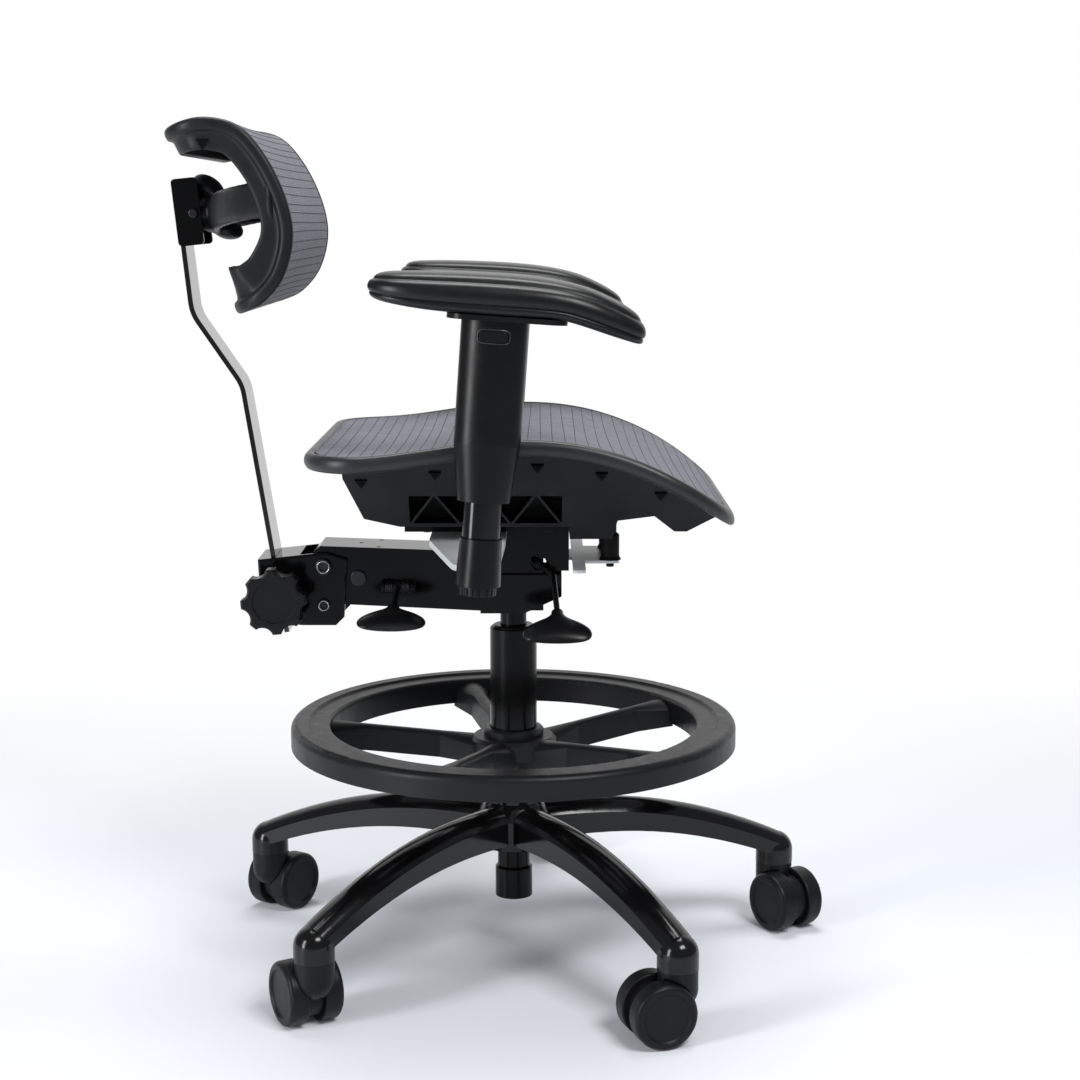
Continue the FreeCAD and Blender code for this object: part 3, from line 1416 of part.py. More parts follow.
def button_solid(grow, depth, low):
    """Oblong block with round ends, pushed in along +Y from a face at low."""
    half = BUTTON_LENGTH / 2 - BUTTON_WIDTH / 2
    radius = BUTTON_WIDTH / 2 + grow
    height = BUTTON_HEIGHT
    outline = wire(
        Vec(-half, low, height - radius),
        Vec(half, low, height - radius),
        (Vec(half + radius, low, height), Vec(half, low, height + radius)),
        Vec(-half, low, height + radius),
        (Vec(-half - radius, low, height), Vec(-half, low, height - radius)),
    )
    return push(outline, Vec(0, depth, 0))


def arm_button():
    return button_solid(0, BUTTON_DEPTH, -SLEEVE_SHORT - BUTTON_PROUD)


def arm_sleeve():
    knee = SLEEVE_FOOT + SLEEVE_KNEE
    lower = Part.makeLoft([
        oval(SLEEVE_FOOT_LONG, SLEEVE_FOOT_SHORT, SLEEVE_FOOT),
        oval(SLEEVE_LONG, SLEEVE_SHORT, knee),
    ], True, True)
    upper = oval_bar(SLEEVE_LONG, SLEEVE_SHORT, knee, SLEEVE_TOP)
    sleeve = lower.fuse(upper)
    sleeve = sleeve.cut(oval_bar(POST_LONG + RUN_GAP, POST_SHORT + RUN_GAP, SLEEVE_FOOT, SLEEVE_BORE_TOP))
    pocket_depth = BUTTON_DEPTH + BUTTON_TRAVEL + RUN_GAP
    sleeve = sleeve.cut(button_solid(RUN_GAP, pocket_depth, -SLEEVE_SHORT - BUTTON_PROUD))
    pin_hole = disc(PAD_PIN_RADIUS + PIN_GAP, SLEEVE_TOP - PAD_PIN_LENGTH - RUN_GAP, SLEEVE_TOP)
    return sleeve.cut(pin_hole)


def arm_pad_plate():
    low = SLEEVE_TOP + RUN_GAP
    outline = rounded_plan(PAD_PLATE_REAR, PAD_PLATE_FRONT, PAD_PLATE_HALF, PAD_PLATE_ROUND, PAD_PLATE_ROUND)
    plate = plan_prism(outline, low, PAD_SEAT)
    return joined([plate, disc(PAD_PIN_RADIUS, SLEEVE_TOP - PAD_PIN_LENGTH, low)])


def pad_section(station):
    """Pad section across its length: flat underside, bulging sides and a crowned top."""
    along, low, top, half = station
    depth = top - low
    bulge = depth * PAD_SIDE_BULGE
    crown = depth * PAD_CROWN
    floor = PAD_SEAT + low
    shoulder = PAD_SEAT + top - crown
    edge = half - bulge
    return wire(
        Vec(along, PAD_SHIFT - edge, floor),
        (Vec(along, PAD_SHIFT - half, (floor + shoulder) / 2), Vec(along, PAD_SHIFT - edge, shoulder)),
        (Vec(along, PAD_SHIFT, shoulder + crown), Vec(along, PAD_SHIFT + edge, shoulder)),
        (Vec(along, PAD_SHIFT + half, (floor + shoulder) / 2), Vec(along, PAD_SHIFT + edge, floor)),
    )


def arm_pad():
    pad = Part.makeLoft([pad_section(station) for station in PAD_STATIONS], True, False)
    return pad.cut(arm_pad_plate())


def strip_plan():
    """Plan of the right arm bracket: wide at the seat plate, narrow at the cup."""
    return wire(
        Vec(ARM_STRIP_REAR, -ARM_STRIP_INNER, 0),
        Vec(ARM_STRIP_FRONT, -ARM_STRIP_INNER, 0),
        Vec(ARM_STRIP_FRONT, -ARM_STRIP_SHOULDER, 0),
        Vec(ARM_X + ARM_STRIP_TIP_HALF, -ARM_STRIP_KNEE - ARM_STRIP_BEND, 0),
        Vec(ARM_X + ARM_STRIP_TIP_HALF, -ARM_SPREAD, 0),
        Vec(ARM_X - ARM_STRIP_TIP_HALF, -ARM_SPREAD, 0),
        Vec(ARM_X - ARM_STRIP_TIP_HALF, -ARM_STRIP_KNEE - ARM_STRIP_BEND, 0),
        Vec(ARM_STRIP_REAR, -ARM_STRIP_SHOULDER, 0),
    )


def arm_bracket():
    """Flat bar from under the seat plate, stepped down and out to the cup."""
    middle = SEAT_DECK - ARM_STRIP / 2
    points = [
        Vec(ARM_STRIP_REAR, -ARM_STRIP_INNER, middle),
        Vec(ARM_STRIP_REAR, -ARM_STRIP_SHOULDER, middle),
        Vec(ARM_STRIP_REAR, -ARM_STRIP_KNEE, middle - ARM_STRIP_DROP),
        Vec(ARM_STRIP_REAR, -ARM_SPREAD, middle - ARM_STRIP_DROP),
    ]
    outline = strip_outline(points, ARM_STRIP, ARM_STRIP_BEND, X_AXIS)
    strip = push(outline, Vec(ARM_STRIP_FRONT - ARM_STRIP_REAR, 0, 0))
    low = SEAT_DECK - ARM_FOOT
    strip = strip.common(plan_prism(strip_plan(), low, SEAT_DECK))
    strip = strip.cut(on_arm(cup_outer()))
    strip = max(strip.Solids, key=lambda solid: solid.Volume)
    for x, y in ARM_BOLT_PLACES:
        strip = strip.cut(arm_bolt(x, -y))
    return strip


def arm_nodes():
    right_bracket = arm_bracket()
    nodes = {
        "arm_brackets": [right_bracket, mirrored(right_bracket)],
        "arm_cups": pair(arm_cup()),
        "arm_posts": pair(arm_post()),
        "arm_nuts": pair(arm_nut()),
    }
    singles = {
        "arm_sleeve": arm_sleeve(),
        "arm_button": arm_button(),
        "arm_pad_plate": arm_pad_plate(),
        "arm_pad": arm_pad(),
    }
    for name, shape in singles.items():
        right, left = pair(shape)
        nodes[f"{name}_right"] = [right]
        nodes[f"{name}_left"] = [left]
    return nodes


# Back

def bar_points():
    names = (BAR_FOOT, BAR_LOWER_BEND, BAR_UPPER_BEND, BAR_TOP)
    return [above_deck(x, height) for x, height in names]


def bar_middle(height):
    """X of the bar's lower run at a Z value."""
    foot, bend = bar_points()[:2]
    return foot.x + (bend.x - foot.x) * (height - foot.z) / (bend.z - foot.z)


def back_bar():
    strip = push_across(strip_outline(bar_points(), BAR_THICKNESS, BAR_BEND, Y_AXIS), BAR_HALF)
    top = bar_points()[-1].z
    corners = [
        edge for edge in strip.Edges
        if abs(edge.Length - BAR_THICKNESS) < 1e-3 and abs(edge.CenterOfMass.z - top) < BAR_THICKNESS
    ]
    strip = strip.makeFillet(BAR_TOP_ROUND, corners)
    for rivet in rivets():
        strip = strip.cut(rivet)
    return [strip]


def on_clamp(corner):
    return CLAMP_PIVOT + Vec(corner[0], 0, corner[1])


def clamp_bracket():
    outline = wire(*[on_clamp(corner) for corner in CLAMP_OUTLINE])
    body = push_across(outline, CLAMP_HALF)
    body = body.makeFillet(CLAMP_EDGE, side_edges(body, CLAMP_HALF) + side_edges(body, -CLAMP_HALF))
    gap_half = REAR_ARM_HALF + RUN_GAP
    gap = block(
        on_clamp((CLAMP_BLOCK_FRONT, -2 * CLAMP_HALF)) - Vec(0, gap_half, 0),
        on_clamp((2 * CLAMP_HALF, 2 * CLAMP_HALF)) + Vec(0, gap_half, 0),
    )
    body = body.cut(gap)
    foot, bend = bar_points()[:2]
    run = (bend - foot).normalize()
    slot_points = [foot - run * BAR_HALF, bend]
    slot = strip_outline(slot_points, BAR_THICKNESS + 2 * RUN_GAP, BAR_BEND, Y_AXIS)
    body = body.cut(push_across(slot, BAR_HALF + RUN_GAP))
    for bolt in clamp_bolts():
        body = body.cut(bolt)
    return [body.cut(knob_screw_hole())]


def clamp_bolt(radius, centre):
    end = CLAMP_HALF + radius
    shank = across(radius, centre, -CLAMP_HALF, CLAMP_HALF)
    head = across(radius * BOLT_HEAD_RATIO, centre, CLAMP_HALF, end)
    head = head.makeFillet(radius / 5, side_edges(head, end))
    head = head.cut(across(radius * BOLT_KEY_RATIO, centre, end - radius / 2, end))
    return joined([shank, head, mirrored(head)])


def clamp_bolts():
    lock = CLAMP_PIVOT - Vec(0, 0, LOCK_BOLT_DROP)
    return [clamp_bolt(CLAMP_BOLT_RADIUS, CLAMP_PIVOT), clamp_bolt(LOCK_BOLT_RADIUS, lock)]


def knob_centre():
    height = CLAMP_PIVOT.z - KNOB_DROP
    return Vec(bar_middle(height), 0, height)


def knob_screw_hole():
    return across(KNOB_SCREW_RADIUS + PIN_GAP, knob_centre(), -CLAMP_HALF, -BAR_HALF)


def star_point(radius, degrees, y):
    angle = math.radians(degrees)
    centre = knob_centre()
    return Vec(centre.x + radius * math.cos(angle), y, centre.z + radius * math.sin(angle))


def star_knob():
    """Eight-point knob with concave sides, on a hub and a screw that presses on the bar's edge."""
    hub_end = -CLAMP_HALF - RUN_GAP
    inner = hub_end - KNOB_HUB_LENGTH
    outer = inner - KNOB_THICKNESS
    pitch = 360 / KNOB_POINTS
    moves = []
    for index in range(KNOB_POINTS):
        tip = KNOB_TURN + index * pitch
        moves.append((star_point(KNOB_RADIUS, tip, inner), star_point(KNOB_RADIUS, tip + KNOB_TIP, inner)))
        next_start = tip + pitch - KNOB_TIP
        valley = star_point(KNOB_VALLEY, tip + pitch / 2, inner)
        moves.append((valley, star_point(KNOB_RADIUS, next_start, inner)))
    outline = wire(star_point(KNOB_RADIUS, KNOB_TURN - KNOB_TIP, inner), *moves)
    star = push(outline, Vec(0, -KNOB_THICKNESS, 0))
    star = star.makeFillet(KNOB_EDGE, side_edges(star, outer) + side_edges(star, inner))
    star = star.cut(across(KNOB_FACE_RADIUS, knob_centre(), outer, outer + KNOB_FACE_DEPTH))
    hub = across(KNOB_HUB_RADIUS, knob_centre(), inner, hub_end)
    screw = across(KNOB_SCREW_RADIUS, knob_centre(), inner, -BAR_HALF - RUN_GAP)
    return [joined([star, hub]).cut(screw), screw]


def bar_lean():
    lower, top = bar_points()[-2:]
    return math.degrees(math.atan2(lower.x - top.x, top.z - lower.z))


def on_bar(shape):
    """Set a shape built at an upright bar top onto the leaning one."""
    return moved(turned(shape, -bar_lean(), Y_AXIS), bar_points()[-1])


def eye_pin_upright():
    centre = Vec(EYE_FORWARD, 0, -EYE_DROP)
    face = BAR_HALF + RUN_GAP + BAR_BRACKET_SHEET
    end = face + EYE_PIN_HEAD_HEIGHT
    head = across(EYE_PIN_HEAD, centre, face, end)
    head = head.makeFillet(EYE_PIN_HEAD_HEIGHT / 2, side_edges(head, end))
    return joined([across(EYE_PIN_RADIUS, centre, -face, face), head, mirrored(head)])


def back_pivot_pin():
    return [on_bar(eye_pin_upright())]


def eye_centre():
    return on_bar(Part.Vertex(EYE_FORWARD, 0, -EYE_DROP)).Point


def rivets():
    """Rivets that hold the bracket's web to the bar's front face."""
    web_front = BAR_THICKNESS / 2 + BAR_BRACKET_SHEET
    rear = -BAR_THICKNESS / 2
    solids = []
    for drop in RIVET_PLACES:
        shank = bar(RIVET_RADIUS, Vec(rear, 0, -drop), Vec(web_front, 0, -drop))
        head = bar(RIVET_HEAD, Vec(rear - RIVET_HEAD_HEIGHT, 0, -drop), Vec(rear, 0, -drop))
        solids.append(on_bar(joined([shank, head])))
    return solids


def back_bracket():
    inner = BAR_HALF + RUN_GAP
    outer = inner + BAR_BRACKET_SHEET
    face = BAR_THICKNESS / 2
    ear = moved(turned(push(rounded_plan(
        BAR_BRACKET_REAR, BAR_BRACKET_FRONT, BAR_BRACKET_HEIGHT / 2, BAR_BRACKET_ROUND, BAR_BRACKET_ROUND,
    ), Vec(0, 0, BAR_BRACKET_SHEET)), 90, X_AXIS), Vec(0, -inner, -BAR_BRACKET_HEIGHT / 2))
    web = block(
        Vec(face, -outer + BAR_BRACKET_SHEET / 2, -BAR_BRACKET_HEIGHT + BAR_BRACKET_ROUND),
        Vec(face + BAR_BRACKET_SHEET, outer - BAR_BRACKET_SHEET / 2, -BAR_BRACKET_ROUND),
    )
    bracket = joined([ear, mirrored(ear), web]).cut(eye_pin_upright())
    bracket = on_bar(bracket)
    for rivet in rivets():
        bracket = bracket.cut(rivet)
    return [bracket] + rivets()


def back_yoke():
    eye = eye_centre()
    knuckle = across(KNUCKLE_RADIUS, eye, -BAR_HALF, BAR_HALF)
    neck = block(
        eye + Vec(0, -BAR_HALF, -KNUCKLE_NECK / 2),
        eye + Vec((FLANGE_REAR + FLANGE_FRONT) / 2, BAR_HALF, KNUCKLE_NECK / 2),
    )
    flange_height = FLANGE_TOP - FLANGE_LOW
    flange = push(rounded_plan(
        -flange_height / 2, flange_height / 2, FLANGE_HALF, FLANGE_ROUND, FLANGE_ROUND,
    ), Vec(0, 0, FLANGE_FRONT - FLANGE_REAR))
    flange = turned(flange, 90, Y_AXIS)
    flange = moved(flange, eye + Vec(FLANGE_REAR, 0, (FLANGE_TOP + FLANGE_LOW) / 2))
    outer = BOW_FRONT - BOW_THICKNESS
    bow = push(wire(
        eye + Vec(BOW_END_X, -BOW_END_HALF, BOW_LOW),
        (eye + Vec(BOW_FRONT, 0, BOW_LOW), eye + Vec(BOW_END_X, BOW_END_HALF, BOW_LOW)),
        eye + Vec(BOW_END_X - BOW_THICKNESS, BOW_END_HALF, BOW_LOW),
        (eye + Vec(outer, 0, BOW_LOW), eye + Vec(BOW_END_X - BOW_THICKNESS, -BOW_END_HALF, BOW_LOW)),
    ), Vec(0, 0, BOW_TOP - BOW_LOW))
    bow = bow.makeFillet(BOW_ROUND, [edge for edge in bow.Edges if hasattr(edge.Curve, "Radius")])
    yoke = joined([knuckle, neck, flange, bow])
    yoke = yoke.cut(across(EYE_PIN_RADIUS + PIN_GAP, eye, -BAR_HALF, BAR_HALF))
    yoke = yoke.cut(back_frame()[0])
    return [max(yoke.Solids, key=lambda solid: solid.Volume)]


def back_line(depth):
    """Points of the back's side view, drawn in from its front face by a depth."""
    eye = eye_centre()
    points = [eye + Vec(x, 0, z) for x, z in BACK_CURVE]
    curve = spline(points)
    line_points = []
    for point in points:
        tangent = curve.tangent(curve.parameter(point))[0]
        line_points.append(point + Vec(tangent.z, 0, -tangent.x) * depth)
    return line_points


def back_prism(inset):
    """Plan prisms with rounded rear corners, for the top and for the bottom of the back."""
    eye = eye_centre()
    pieces = []
    spans = ((BACK_TOP_END, BACK_SPLIT, BACK_REACH), (BACK_LOW_END, -BACK_REACH, BACK_SPLIT))
    for rear, low, top in spans:
        outline = rounded_plan(
            rear + inset, BACK_REACH, BACK_HALF - inset, BACK_ROUND - inset, BACK_SKIRT_WALL,
        )
        pieces.append(moved(plan_prism(outline, low, top), eye))
    return joined(pieces)


def back_frame():
    rim = band(back_line(0), back_line(BACK_RIM_DEPTH), BACK_HALF)
    rim = rim.common(back_prism(0)).cut(back_prism(BACK_RIM_WIDTH))
    skirt = band(back_line(BACK_RIM_DEPTH / 2), back_line(BACK_SKIRT_DEPTH), BACK_HALF)
    skirt = skirt.common(back_prism(BACK_SKIRT_INSET)).cut(back_prism(BACK_SKIRT_INSET + BACK_SKIRT_WALL))
    frame = joined([rim, skirt])
    ledge = band(back_line(-BACK_RIM_DEPTH), back_line(MESH_THICKNESS + BED_GAP), BACK_HALF)
    frame = frame.cut(ledge.common(back_prism(BACK_MESH_INSET - BED_GAP)))
    return [max(frame.Solids, key=lambda solid: solid.Volume)]


def back_mesh():
    sheet = band(back_line(0), back_line(MESH_THICKNESS), BACK_HALF)
    return [sheet.common(back_prism(BACK_MESH_INSET))]


def all_nodes():
    makers = (
        five_star_base, cylinder_tube, cylinder_bush, thrust_bearing, piston_rod, rod_clip,
        gas_spring_tube, release_pin, foot_ring, foot_ring_collar, tilt_housing, front_plate,
        front_bumpers, rear_arm, mechanism_bolts, height_lever, back_lever, seat_bracket,
        seat_plate, seat_screws, seat_frame, seat_mesh, seat_underframe, clamp_bracket,
        clamp_bolts, star_knob, back_bar, back_bracket, back_pivot_pin, back_yoke, back_frame,
        back_mesh,
    )
    nodes = {maker.__name__: maker() for maker in makers}
    nodes["tilt_pin"] = [tilt_pin_solid()]
    nodes.update(caster_nodes())
    nodes.update(arm_nodes())
    return nodes


def main():
    os.makedirs("parts", exist_ok=True)
    for name, solids in all_nodes().items():
        shape = solids[0] if len(solids) == 1 else Part.makeCompound(solids)
        shape.exportStep(f"parts/{name}.step")
        box = shape.BoundBox
        print(f"{name}: {len(shape.Solids)} solids, {shape.Volume / 1000:.1f} cm3, valid {shape.isValid()},"
              f" x {box.XMin:.1f} {box.XMax:.1f},"
              f" y {box.YMin:.1f} {box.YMax:.1f}, z {box.ZMin:.1f} {box.ZMax:.1f}")


main()
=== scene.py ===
import math

import bmesh
import bpy
from mathutils import Matrix, Vector


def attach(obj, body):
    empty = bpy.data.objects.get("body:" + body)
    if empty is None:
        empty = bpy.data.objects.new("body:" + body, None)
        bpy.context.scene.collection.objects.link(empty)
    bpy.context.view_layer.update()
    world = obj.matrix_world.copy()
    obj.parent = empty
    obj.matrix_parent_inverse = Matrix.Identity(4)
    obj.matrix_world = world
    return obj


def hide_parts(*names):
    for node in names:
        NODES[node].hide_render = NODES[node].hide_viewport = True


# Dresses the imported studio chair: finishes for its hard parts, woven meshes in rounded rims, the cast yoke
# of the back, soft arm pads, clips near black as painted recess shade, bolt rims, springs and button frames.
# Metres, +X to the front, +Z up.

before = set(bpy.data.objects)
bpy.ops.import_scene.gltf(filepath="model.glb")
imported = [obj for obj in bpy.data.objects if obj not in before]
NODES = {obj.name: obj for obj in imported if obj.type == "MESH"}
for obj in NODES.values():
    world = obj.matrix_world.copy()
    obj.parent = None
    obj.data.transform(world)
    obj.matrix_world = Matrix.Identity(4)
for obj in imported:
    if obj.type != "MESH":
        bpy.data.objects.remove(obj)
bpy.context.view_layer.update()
MM = 0.001

# Seat, as in the model
SEAT_REAR = -203 * MM
SEAT_FRONT = 222 * MM
SEAT_HALF = 207 * MM
SEAT_REAR_ROUND = 60 * MM
SEAT_FRONT_ROUND = 80 * MM
SEAT_CROWN_X = 10 * MM
SEAT_TOP = 576.5 * MM
SEAT_REAR_DROP = 17 * MM
SEAT_REAR_RUN = 175 * MM
SEAT_FRONT_DROP = 80 * MM
SEAT_FRONT_POWER = 2.2
SEAT_SAG = 5 * MM
SEAT_SAG_EDGE = 100 * MM    # way from the front and rear ends over which the sag grows
MESH_INSET = 11 * MM

# Back, as in the model: front face in side view from the pivot pin, top to bottom
EYE = Vector((-325.392, 0, 790.725)) * MM
BACK_CURVE = (
    (-9.6, 77.3), (15.4, 86.3), (39.4, 89.3), (69.4, 80.3), (94.9, 49.3),
    (112.4, 9.3), (116.9, -25.7), (106.9, -61.7), (87.4, -84.7), (69.4, -93.7),
    (57.4, -97.4),
)
BACK_HALF = 166 * MM
BACK_ROUND = 38 * MM
BACK_MESH_INSET = 9 * MM
BACK_SAG = 1.5 * MM
BACK_SAG_EDGE = 50 * MM

# Both woven sheets
CLOTH_THICK = 1.2 * MM
CLOTH_ROWS = 61
SEAT_COLUMNS = 41
BACK_COLUMNS = 37
SEAT_THREADS = 34
BACK_THREADS = 30
THREAD_POINTS = 25
THREAD_INSET = 1 * MM       # how far inside the edge of the cloth the threads end

# Arms, as in the model
SIDES = ("right", "left")
ARM_FOOT = Vector((-31, -238, 435)) * MM
ARM_LEAN = math.radians(4)
PAD_SEAT = 263.3 * MM
PAD_SHIFT = 13 * MM


# Mesh helpers

def new_piece(name, mesh, material):
    """Object at the origin with smooth faces and one material."""
    mesh.materials.clear()
    mesh.materials.append(material)
    for face in mesh.polygons:
        face.use_smooth = True
    piece = bpy.data.objects.new(name, mesh)
    bpy.context.scene.collection.objects.link(piece)
    return piece


def finished_mesh(piece):
    """Replace a piece's mesh by what its modifiers make of it."""
    graph = bpy.context.evaluated_depsgraph_get()
    mesh = bpy.data.meshes.new_from_object(piece.evaluated_get(graph))
    piece.modifiers.clear()
    piece.data = mesh
    return piece


def subdivide(piece):
    modifier = piece.modifiers.new("Smooth", "SUBSURF")
    modifier.levels = 1
    modifier.render_levels = 1
    return finished_mesh(piece)


def outward(mesh):
    """Merge doubles and point the faces of a closed mesh outwards."""
    shape = bmesh.new()
    shape.from_mesh(mesh)
    bmesh.ops.remove_doubles(shape, verts=shape.verts, dist=1e-6)
    bmesh.ops.recalc_face_normals(shape, faces=shape.faces)
    shape.to_mesh(mesh)
    shape.free()
    return mesh


def loops_mesh(name, loops, closed=False):
    """Skin over point loops of equal even count, closed into a ring of loops or capped by strips."""
    points = [point for loop in loops for point in loop]
    count = len(loops[0])
    faces = []
    spans = len(loops) if closed else len(loops) - 1
    for row in range(spans):
        here = row * count
        there = (row + 1) % len(loops) * count
        for index in range(count):
            after = (index + 1) % count
            faces.append((here + index, here + after, there + after, there + index))
    if not closed:
        for first in (0, (len(loops) - 1) * count):
            for index in range(count // 2):
                across = (index, index + 1, count - index - 1, (count - index) % count)
                faces.append(tuple(dict.fromkeys(first + corner for corner in across)))
    mesh = bpy.data.meshes.new(name)
    mesh.from_pydata(points, [], faces)
    return outward(mesh)


def between(table, at):
    """Smooth value at a place in rows of place and value."""
    if at <= table[0][0]:
        return table[0][1]
    for index in range(len(table) - 1):
        (start, low), (end, high) = table[index], table[index + 1]
        if at <= end:
            share = (at - start) / (end - start)
            before = table[max(index - 1, 0)]
            after = table[min(index + 2, len(table) - 1)]
            low_slope = (high - before[1]) / (end - before[0])
            high_slope = (after[1] - low) / (after[0] - start)
            run = end - start
            square, cube = share ** 2, share ** 3
            return (low * (2 * cube - 3 * square + 1) + low_slope * run * (cube - 2 * square + share)
                    + high * (3 * square - 2 * cube) + high_slope * run * (cube - square))
    return table[-1][1]


def steps(start, end, count):
    """Even steps from start to end, both among them."""
    return [start + (end - start) * index / (count - 1) for index in range(count)]


def squared(value, squareness):
    """Sine or cosine of a squared oval."""
    return math.copysign(abs(value) ** (2 / squareness), value)


def oval(count, squareness):
    """Places around a squared oval whose half sizes are 1."""
    turns = [2 * math.pi * index / count for index in range(count)]
    return [(squared(math.cos(turn), squareness), squared(math.sin(turn), squareness)) for turn in turns]


CORNER_POINTS = 11


def rounded_path(rear, front, half, rear_round, front_round, spacing):
    """Places around a rounded rectangle with their outward directions, once around."""
    corners = (
        (front - front_round, half - front_round, front_round),
        (rear + rear_round, half - rear_round, rear_round),
        (rear + rear_round, rear_round - half, rear_round),
        (front - front_round, front_round - half, front_round),
    )
    path = []
    for index, (x, y, radius) in enumerate(corners):
        for degrees in steps(90 * index, 90 * index + 90, CORNER_POINTS):
            out = Vector((math.cos(math.radians(degrees)), math.sin(math.radians(degrees))))
            path.append((Vector((x, y)) + out * radius, out))
        next_x, next_y, next_radius = corners[(index + 1) % 4]
        start, out = path[-1]
        end = Vector((next_x, next_y)) + out * next_radius
        count = max(2, round((end - start).length / spacing))
        for step in range(1, count):
            path.append((start.lerp(end, step / count), out))
    return path


# Materials

MOTTLE_SCALE = 22.0         # patches per metre
SMEAR_SCALE = 75.0
GRAIN_STRENGTH = 0.5
COAT_ROUGHNESS = 0.08
EDGE_SAMPLES = 4
RIB_PERIOD = 2.6 * MM
YARN_PERIOD = 1.7 * MM
WEAVE_DEPTH = 0.4 * MM
STREAK_SCALE = (260, 45, 1)     # streaks are narrow across the sheet and long along it


def start_material(name):
    material = bpy.data.materials.new(name)
    material.use_nodes = True
    nodes = material.node_tree.nodes
    return material, nodes, material.node_tree.links, nodes["Principled BSDF"]


def noise(nodes, links, place, scale, detail=3.0):
    texture = nodes.new("ShaderNodeTexNoise")
    texture.inputs["Scale"].default_value = scale
    texture.inputs["Detail"].default_value = detail
    links.new(place, texture.inputs["Vector"])
    return texture.outputs["Fac"]


def ramp(nodes, links, factor, low, high, start=0.35, end=0.65):
    """Colour from low to high as the factor goes from start to end."""
    node = nodes.new("ShaderNodeValToRGB")
    node.color_ramp.elements[0].position = start
    node.color_ramp.elements[0].color = (*low, 1)
    node.color_ramp.elements[1].position = end
    node.color_ramp.elements[1].color = (*high, 1)
    links.new(factor, node.inputs["Fac"])
    return node.outputs["Color"]


def spread(nodes, links, factor, low, high):
    """Value from low to high over the middle of a noise's range."""
    node = nodes.new("ShaderNodeMapRange")
    node.inputs["From Min"].default_value = 0.3
    node.inputs["From Max"].default_value = 0.7
    node.inputs["To Min"].default_value = low
    node.inputs["To Max"].default_value = high
    links.new(factor, node.inputs["Value"])
    return node.outputs["Result"]


def relief(nodes, links, height, strength, distance):
    node = nodes.new("ShaderNodeBump")
    node.inputs["Strength"].default_value = strength
    node.inputs["Distance"].default_value = distance
    links.new(height, node.inputs["Height"])
    return node.outputs["Normal"]


def hard_finish(name, colour, roughness, grain, depth, mottle=0.2, metallic=0.0, coat=0.0, specular=0.2,
                edge=0.0):
    """Paint, plastic or metal: mottled colour, uneven roughness, a fine grain and rounded edges (mm)."""
    material, nodes, links, shader = start_material(name)
    place = nodes.new("ShaderNodeTexCoord").outputs["Object"]
    cloud = noise(nodes, links, place, MOTTLE_SCALE, 5.0)
    low = [channel * (1 - mottle) for channel in colour]
    high = [channel * (1 + mottle) for channel in colour]
    links.new(ramp(nodes, links, cloud, low, high), shader.inputs["Base Color"])
    smear = noise(nodes, links, place, SMEAR_SCALE, 4.0)
    links.new(spread(nodes, links, smear, roughness * 0.9, roughness * 1.1), shader.inputs["Roughness"])
    pits = noise(nodes, links, place, 1 / (grain * MM), 2.0)
    normal = relief(nodes, links, pits, GRAIN_STRENGTH, depth * MM)
    if edge:
        rounded = nodes.new("ShaderNodeBevel")
        rounded.samples = EDGE_SAMPLES
        rounded.inputs["Radius"].default_value = edge * MM
        links.new(rounded.outputs["Normal"], normal.node.inputs["Normal"])
    links.new(normal, shader.inputs["Normal"])
    shader.inputs["Metallic"].default_value = metallic
    shader.inputs["Specular IOR Level"].default_value = specular
    shader.inputs["Coat Weight"].default_value = coat
    shader.inputs["Coat Roughness"].default_value = COAT_ROUGHNESS
    return material


def combine(nodes, links, operation, *values):
    """Result of an operation on sockets and plain numbers."""
    node = nodes.new("ShaderNodeMath")
    node.operation = operation
    for entry, value in zip(node.inputs, values):
        if isinstance(value, (int, float)):
            entry.default_value = value
        else:
            links.new(value, entry)
    return node.outputs[0]


def waves(nodes, links, coordinate, period):
    """Even stripes, 0 to 1, across one coordinate, a period apart."""
    turn = combine(nodes, links, "MULTIPLY", coordinate, 2 * math.pi / period)
    wave = combine(nodes, links, "SINE", turn)
    return combine(nodes, links, "MULTIPLY_ADD", wave, 0.5, 0.5)


def mesh_weave(name, dark, light):
    """Woven elastic mesh: fine ribs along the sheet, closer yarns across, faded streaks and a soft sheen."""
    material, nodes, links, shader = start_material(name)
    cloth = nodes.new("ShaderNodeTexCoord").outputs["UV"]
    split = nodes.new("ShaderNodeSeparateXYZ")
    links.new(cloth, split.inputs[0])
    ribs = waves(nodes, links, split.outputs["X"], RIB_PERIOD)
    yarns = waves(nodes, links, split.outputs["Y"], YARN_PERIOD)
    weave = combine(nodes, links, "MULTIPLY", ribs, yarns)
    stretch = nodes.new("ShaderNodeMapping")
    stretch.inputs["Scale"].default_value = STREAK_SCALE
    links.new(cloth, stretch.inputs["Vector"])
    streaks = noise(nodes, links, stretch.outputs["Vector"], 1.0, 4.0)
    shade = combine(nodes, links, "MULTIPLY_ADD", weave, 0.3, streaks)
    links.new(ramp(nodes, links, shade, dark, light, 0.38, 0.85), shader.inputs["Base Color"])
    links.new(relief(nodes, links, weave, 0.6, WEAVE_DEPTH), shader.inputs["Normal"])
    links.new(spread(nodes, links, streaks, 0.5, 0.7), shader.inputs["Roughness"])
    shader.inputs["Sheen Weight"].default_value = 0.03
    shader.inputs["Sheen Roughness"].default_value = 0.4
    shader.inputs["Specular IOR Level"].default_value = 0.15
    return material


